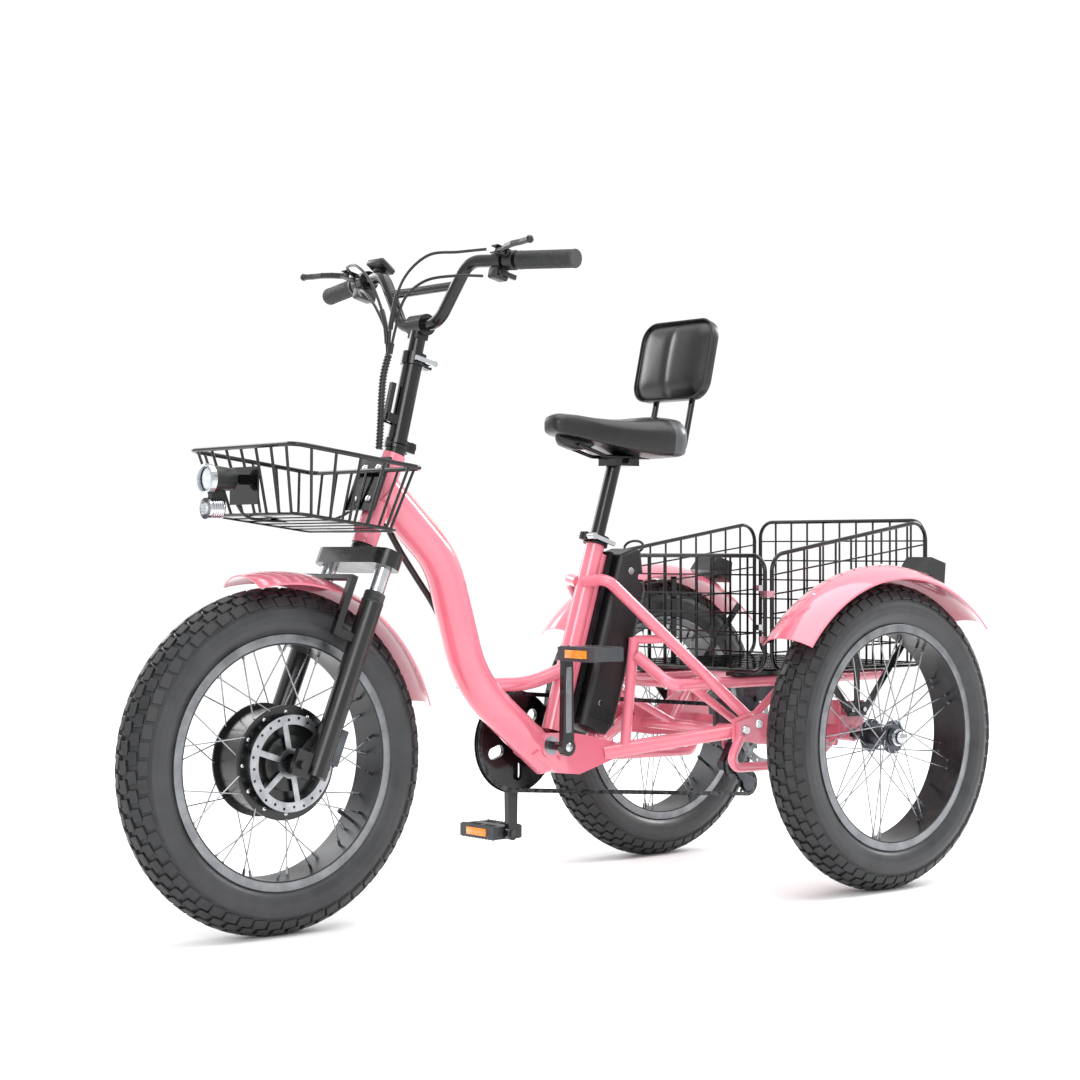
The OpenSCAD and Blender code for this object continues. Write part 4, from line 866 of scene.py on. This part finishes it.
# %% Pedal reflectors
CRANK_REACH = 0.575    # crank centre ahead of the rear axle
PEDAL_Y = REAR_AXLE - CRANK_REACH
CRANK_HEIGHT = 0.283
CRANK_LENGTH = 0.170
PEDAL_MIDDLE = 0.142
for side, height, body in ((1, CRANK_HEIGHT + CRANK_LENGTH, "left_pedal"),
                           (-1, CRANK_HEIGHT - CRANK_LENGTH, "right_pedal")):
    reflector_bm = bmesh.new()
    pins_bm = bmesh.new()
    for edge in (-1, 1):
        bevelled_box(reflector_bm, (side * PEDAL_MIDDLE, PEDAL_Y + edge * 0.0345, height),
                     (0.058, 0.0035, 0.0145), 0.0009)
        for u in range(10):
            for level in (-1, 1):
                pin = (side * (0.0975 + 0.0099 * u), PEDAL_Y + edge * 0.0300, height + level * 0.0120)
                bevelled_box(pins_bm, pin, (0.0040, 0.0055, 0.0030), 0.0007, segments=1)
    finished(body + "_reflectors", reflector_bm, amber_lens, body)
    finished(body + "_grip_pins", pins_bm, grey_nylon, body)
print("pedal reflectors", 4)

# %% Bright faces of the crank arms, and the crank bolts
crank_bm = bmesh.new()
bolt_bm = bmesh.new()
for side, face, way in ((1, 0.083, 1), (-1, -0.088, -1)):
    bevelled_box(crank_bm, (face, PEDAL_Y, CRANK_HEIGHT + way * 0.085), (0.0016, 0.0130, 0.118), 0.0007,
                 segments=1)
    turned(bolt_bm, [(0.0, 0.0035), (0.0055, 0.0030), (0.0078, 0.0012), (0.0080, 0.0)],
           facing((face, PEDAL_Y, CRANK_HEIGHT), (side, 0, 0)), 24)
finished("crank_face_plates", crank_bm, turned_alloy, "crank")
finished("crank_bolts", bolt_bm, polished_chrome, "crank")
print("crank faces", 2)

# %% [markdown]
# ## Battery
# The pack is a moulded case with a parting line, a lock, a charge button and
# a ring to lift it by. Each is a small bevelled or turned piece let into it.

# %% Battery details
battery_bm = bmesh.new()
for level in (-0.330, -0.085):
    bevelled_box(battery_bm, (0, 0.081, level), (0.0748, 0.070, 0.0022), 0.0008, seat_frame, 1)
finished("battery_parting_bands", battery_bm, black_alloy, "battery")
lock_bm = bmesh.new()
lock = [(0.0, 0.002), (0.0015, 0.002), (0.0018, 0.0012), (0.0062, 0.0012), (0.0075, 0.0)]
turned(lock_bm, lock, seat_frame @ facing((0.0362, 0.070, -0.045), (1, 0, 0)), 32)
charge_button = [(0.0, 0.0012), (0.0045, 0.0012), (0.0055, 0.0)]
turned(lock_bm, charge_button, seat_frame @ facing((0.0362, 0.070, -0.300), (1, 0, 0)), 32)
finished("battery_lock", lock_bm, polished_chrome, "battery")
turns = [math.tau * i / 48 for i in range(48)]
ring = [seat_frame @ Vector((0.026 * math.cos(turn), 0.094, 0.010 + 0.012 * math.sin(turn)))
        for turn in turns]
tube("battery_lift_ring", [(0.005, ring)], black_abs, "battery", closed=True)
print("battery details", 5)

# %% [markdown]
# ## Small parts that catch the eye
# Screws on the mudguards, the bolts of the basket plate and of the rear side
# plates, the display's glass and buttons, and valve stems.

# %% Screws and bolts
MUDGUARD_TOP, MUDGUARD_MIDDLE = 0.3520, 0.2575    # its radius outside, and the height of its middle
screw_bm = bmesh.new()
for side in (-1, 1):
    for degrees in (-32, 0, 32):
        lean = math.radians(degrees)
        centre = Vector((side * HALF_TRACK, REAR_AXLE, MUDGUARD_MIDDLE))
        out = Vector((0, math.sin(lean), math.cos(lean)))
        turned(screw_bm, button, facing(centre + out * MUDGUARD_TOP, out), 12)
for x in (-0.020, 0.020):
    for z in (0.458, 0.516):
        turned(screw_bm, [(0.0, 0.004), (0.005, 0.0036), (0.0068, 0.0012), (0.0070, 0.0)],
               steer_frame @ facing((x, -0.0330, z), (0, -1, 0)), 20)
for side in (-1, 1):
    for y, z in ((-0.230, 0.302), (-0.196, 0.312)):
        turned(screw_bm, [(0.0, 0.005), (0.006, 0.0046), (0.0088, 0.0018), (0.0092, 0.0)],
               facing((side * 0.1858, REAR_AXLE + y, z), (side, 0, 0)), 24)
finished("chrome_button_bolts", screw_bm, polished_chrome, "frame")
print("screws", 6 + 4 + 4)

# %% Display glass and buttons
display_glass = surface("dark_display_glass", "#14171B", "#0E1013", 0.06, blotch_mm=30,
                        bump=0.0, rough_spread=0.02, coat=1.0)
screen_bm = bmesh.new()
bevelled_box(screen_bm, (0, -0.009, 0.0290), (0.039, 0.022, 0.0012), 0.0005, display_place)
finished("display_glass", screen_bm, display_glass, "bar")
button_bm = bmesh.new()
for k in (-1, 0, 1):
    bevelled_box(button_bm, (0.012 * k, 0.0085, 0.0292), (0.009, 0.006, 0.0020), 0.0007, display_place)
finished("display_buttons", button_bm, grip_rubber, "bar")
print("display parts", 4)

# %% Valve stems
for name, x, y, body in (("front_valve", 0.0, -REAR_AXLE, "front_wheel"),
                         ("left_valve", HALF_TRACK, REAR_AXLE, "left_wheel"),
                         ("right_valve", -HALF_TRACK, REAR_AXLE, "right_wheel")):
    valve_bm = bmesh.new()
    out = Vector((0, math.sin(math.radians(55)), -math.cos(math.radians(55))))
    turned(valve_bm, [(0.0, 0.0), (0.0038, 0.0), (0.0040, 0.010), (0.0026, 0.012), (0.0026, 0.034)],
           facing(Vector((x, y, WHEEL_HEIGHT)) + out * 0.160, out), 14)
    finished(name, valve_bm, grip_rubber, body)
print("valves", 3)

# %% [markdown]
# ## Size of the finished scene
# The box round every shown piece is printed, to give the finished scene's size.

# %% Write the sizes
low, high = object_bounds()
print("visual box", [round(v, 3) for v in low], [round(v, 3) for v in high])
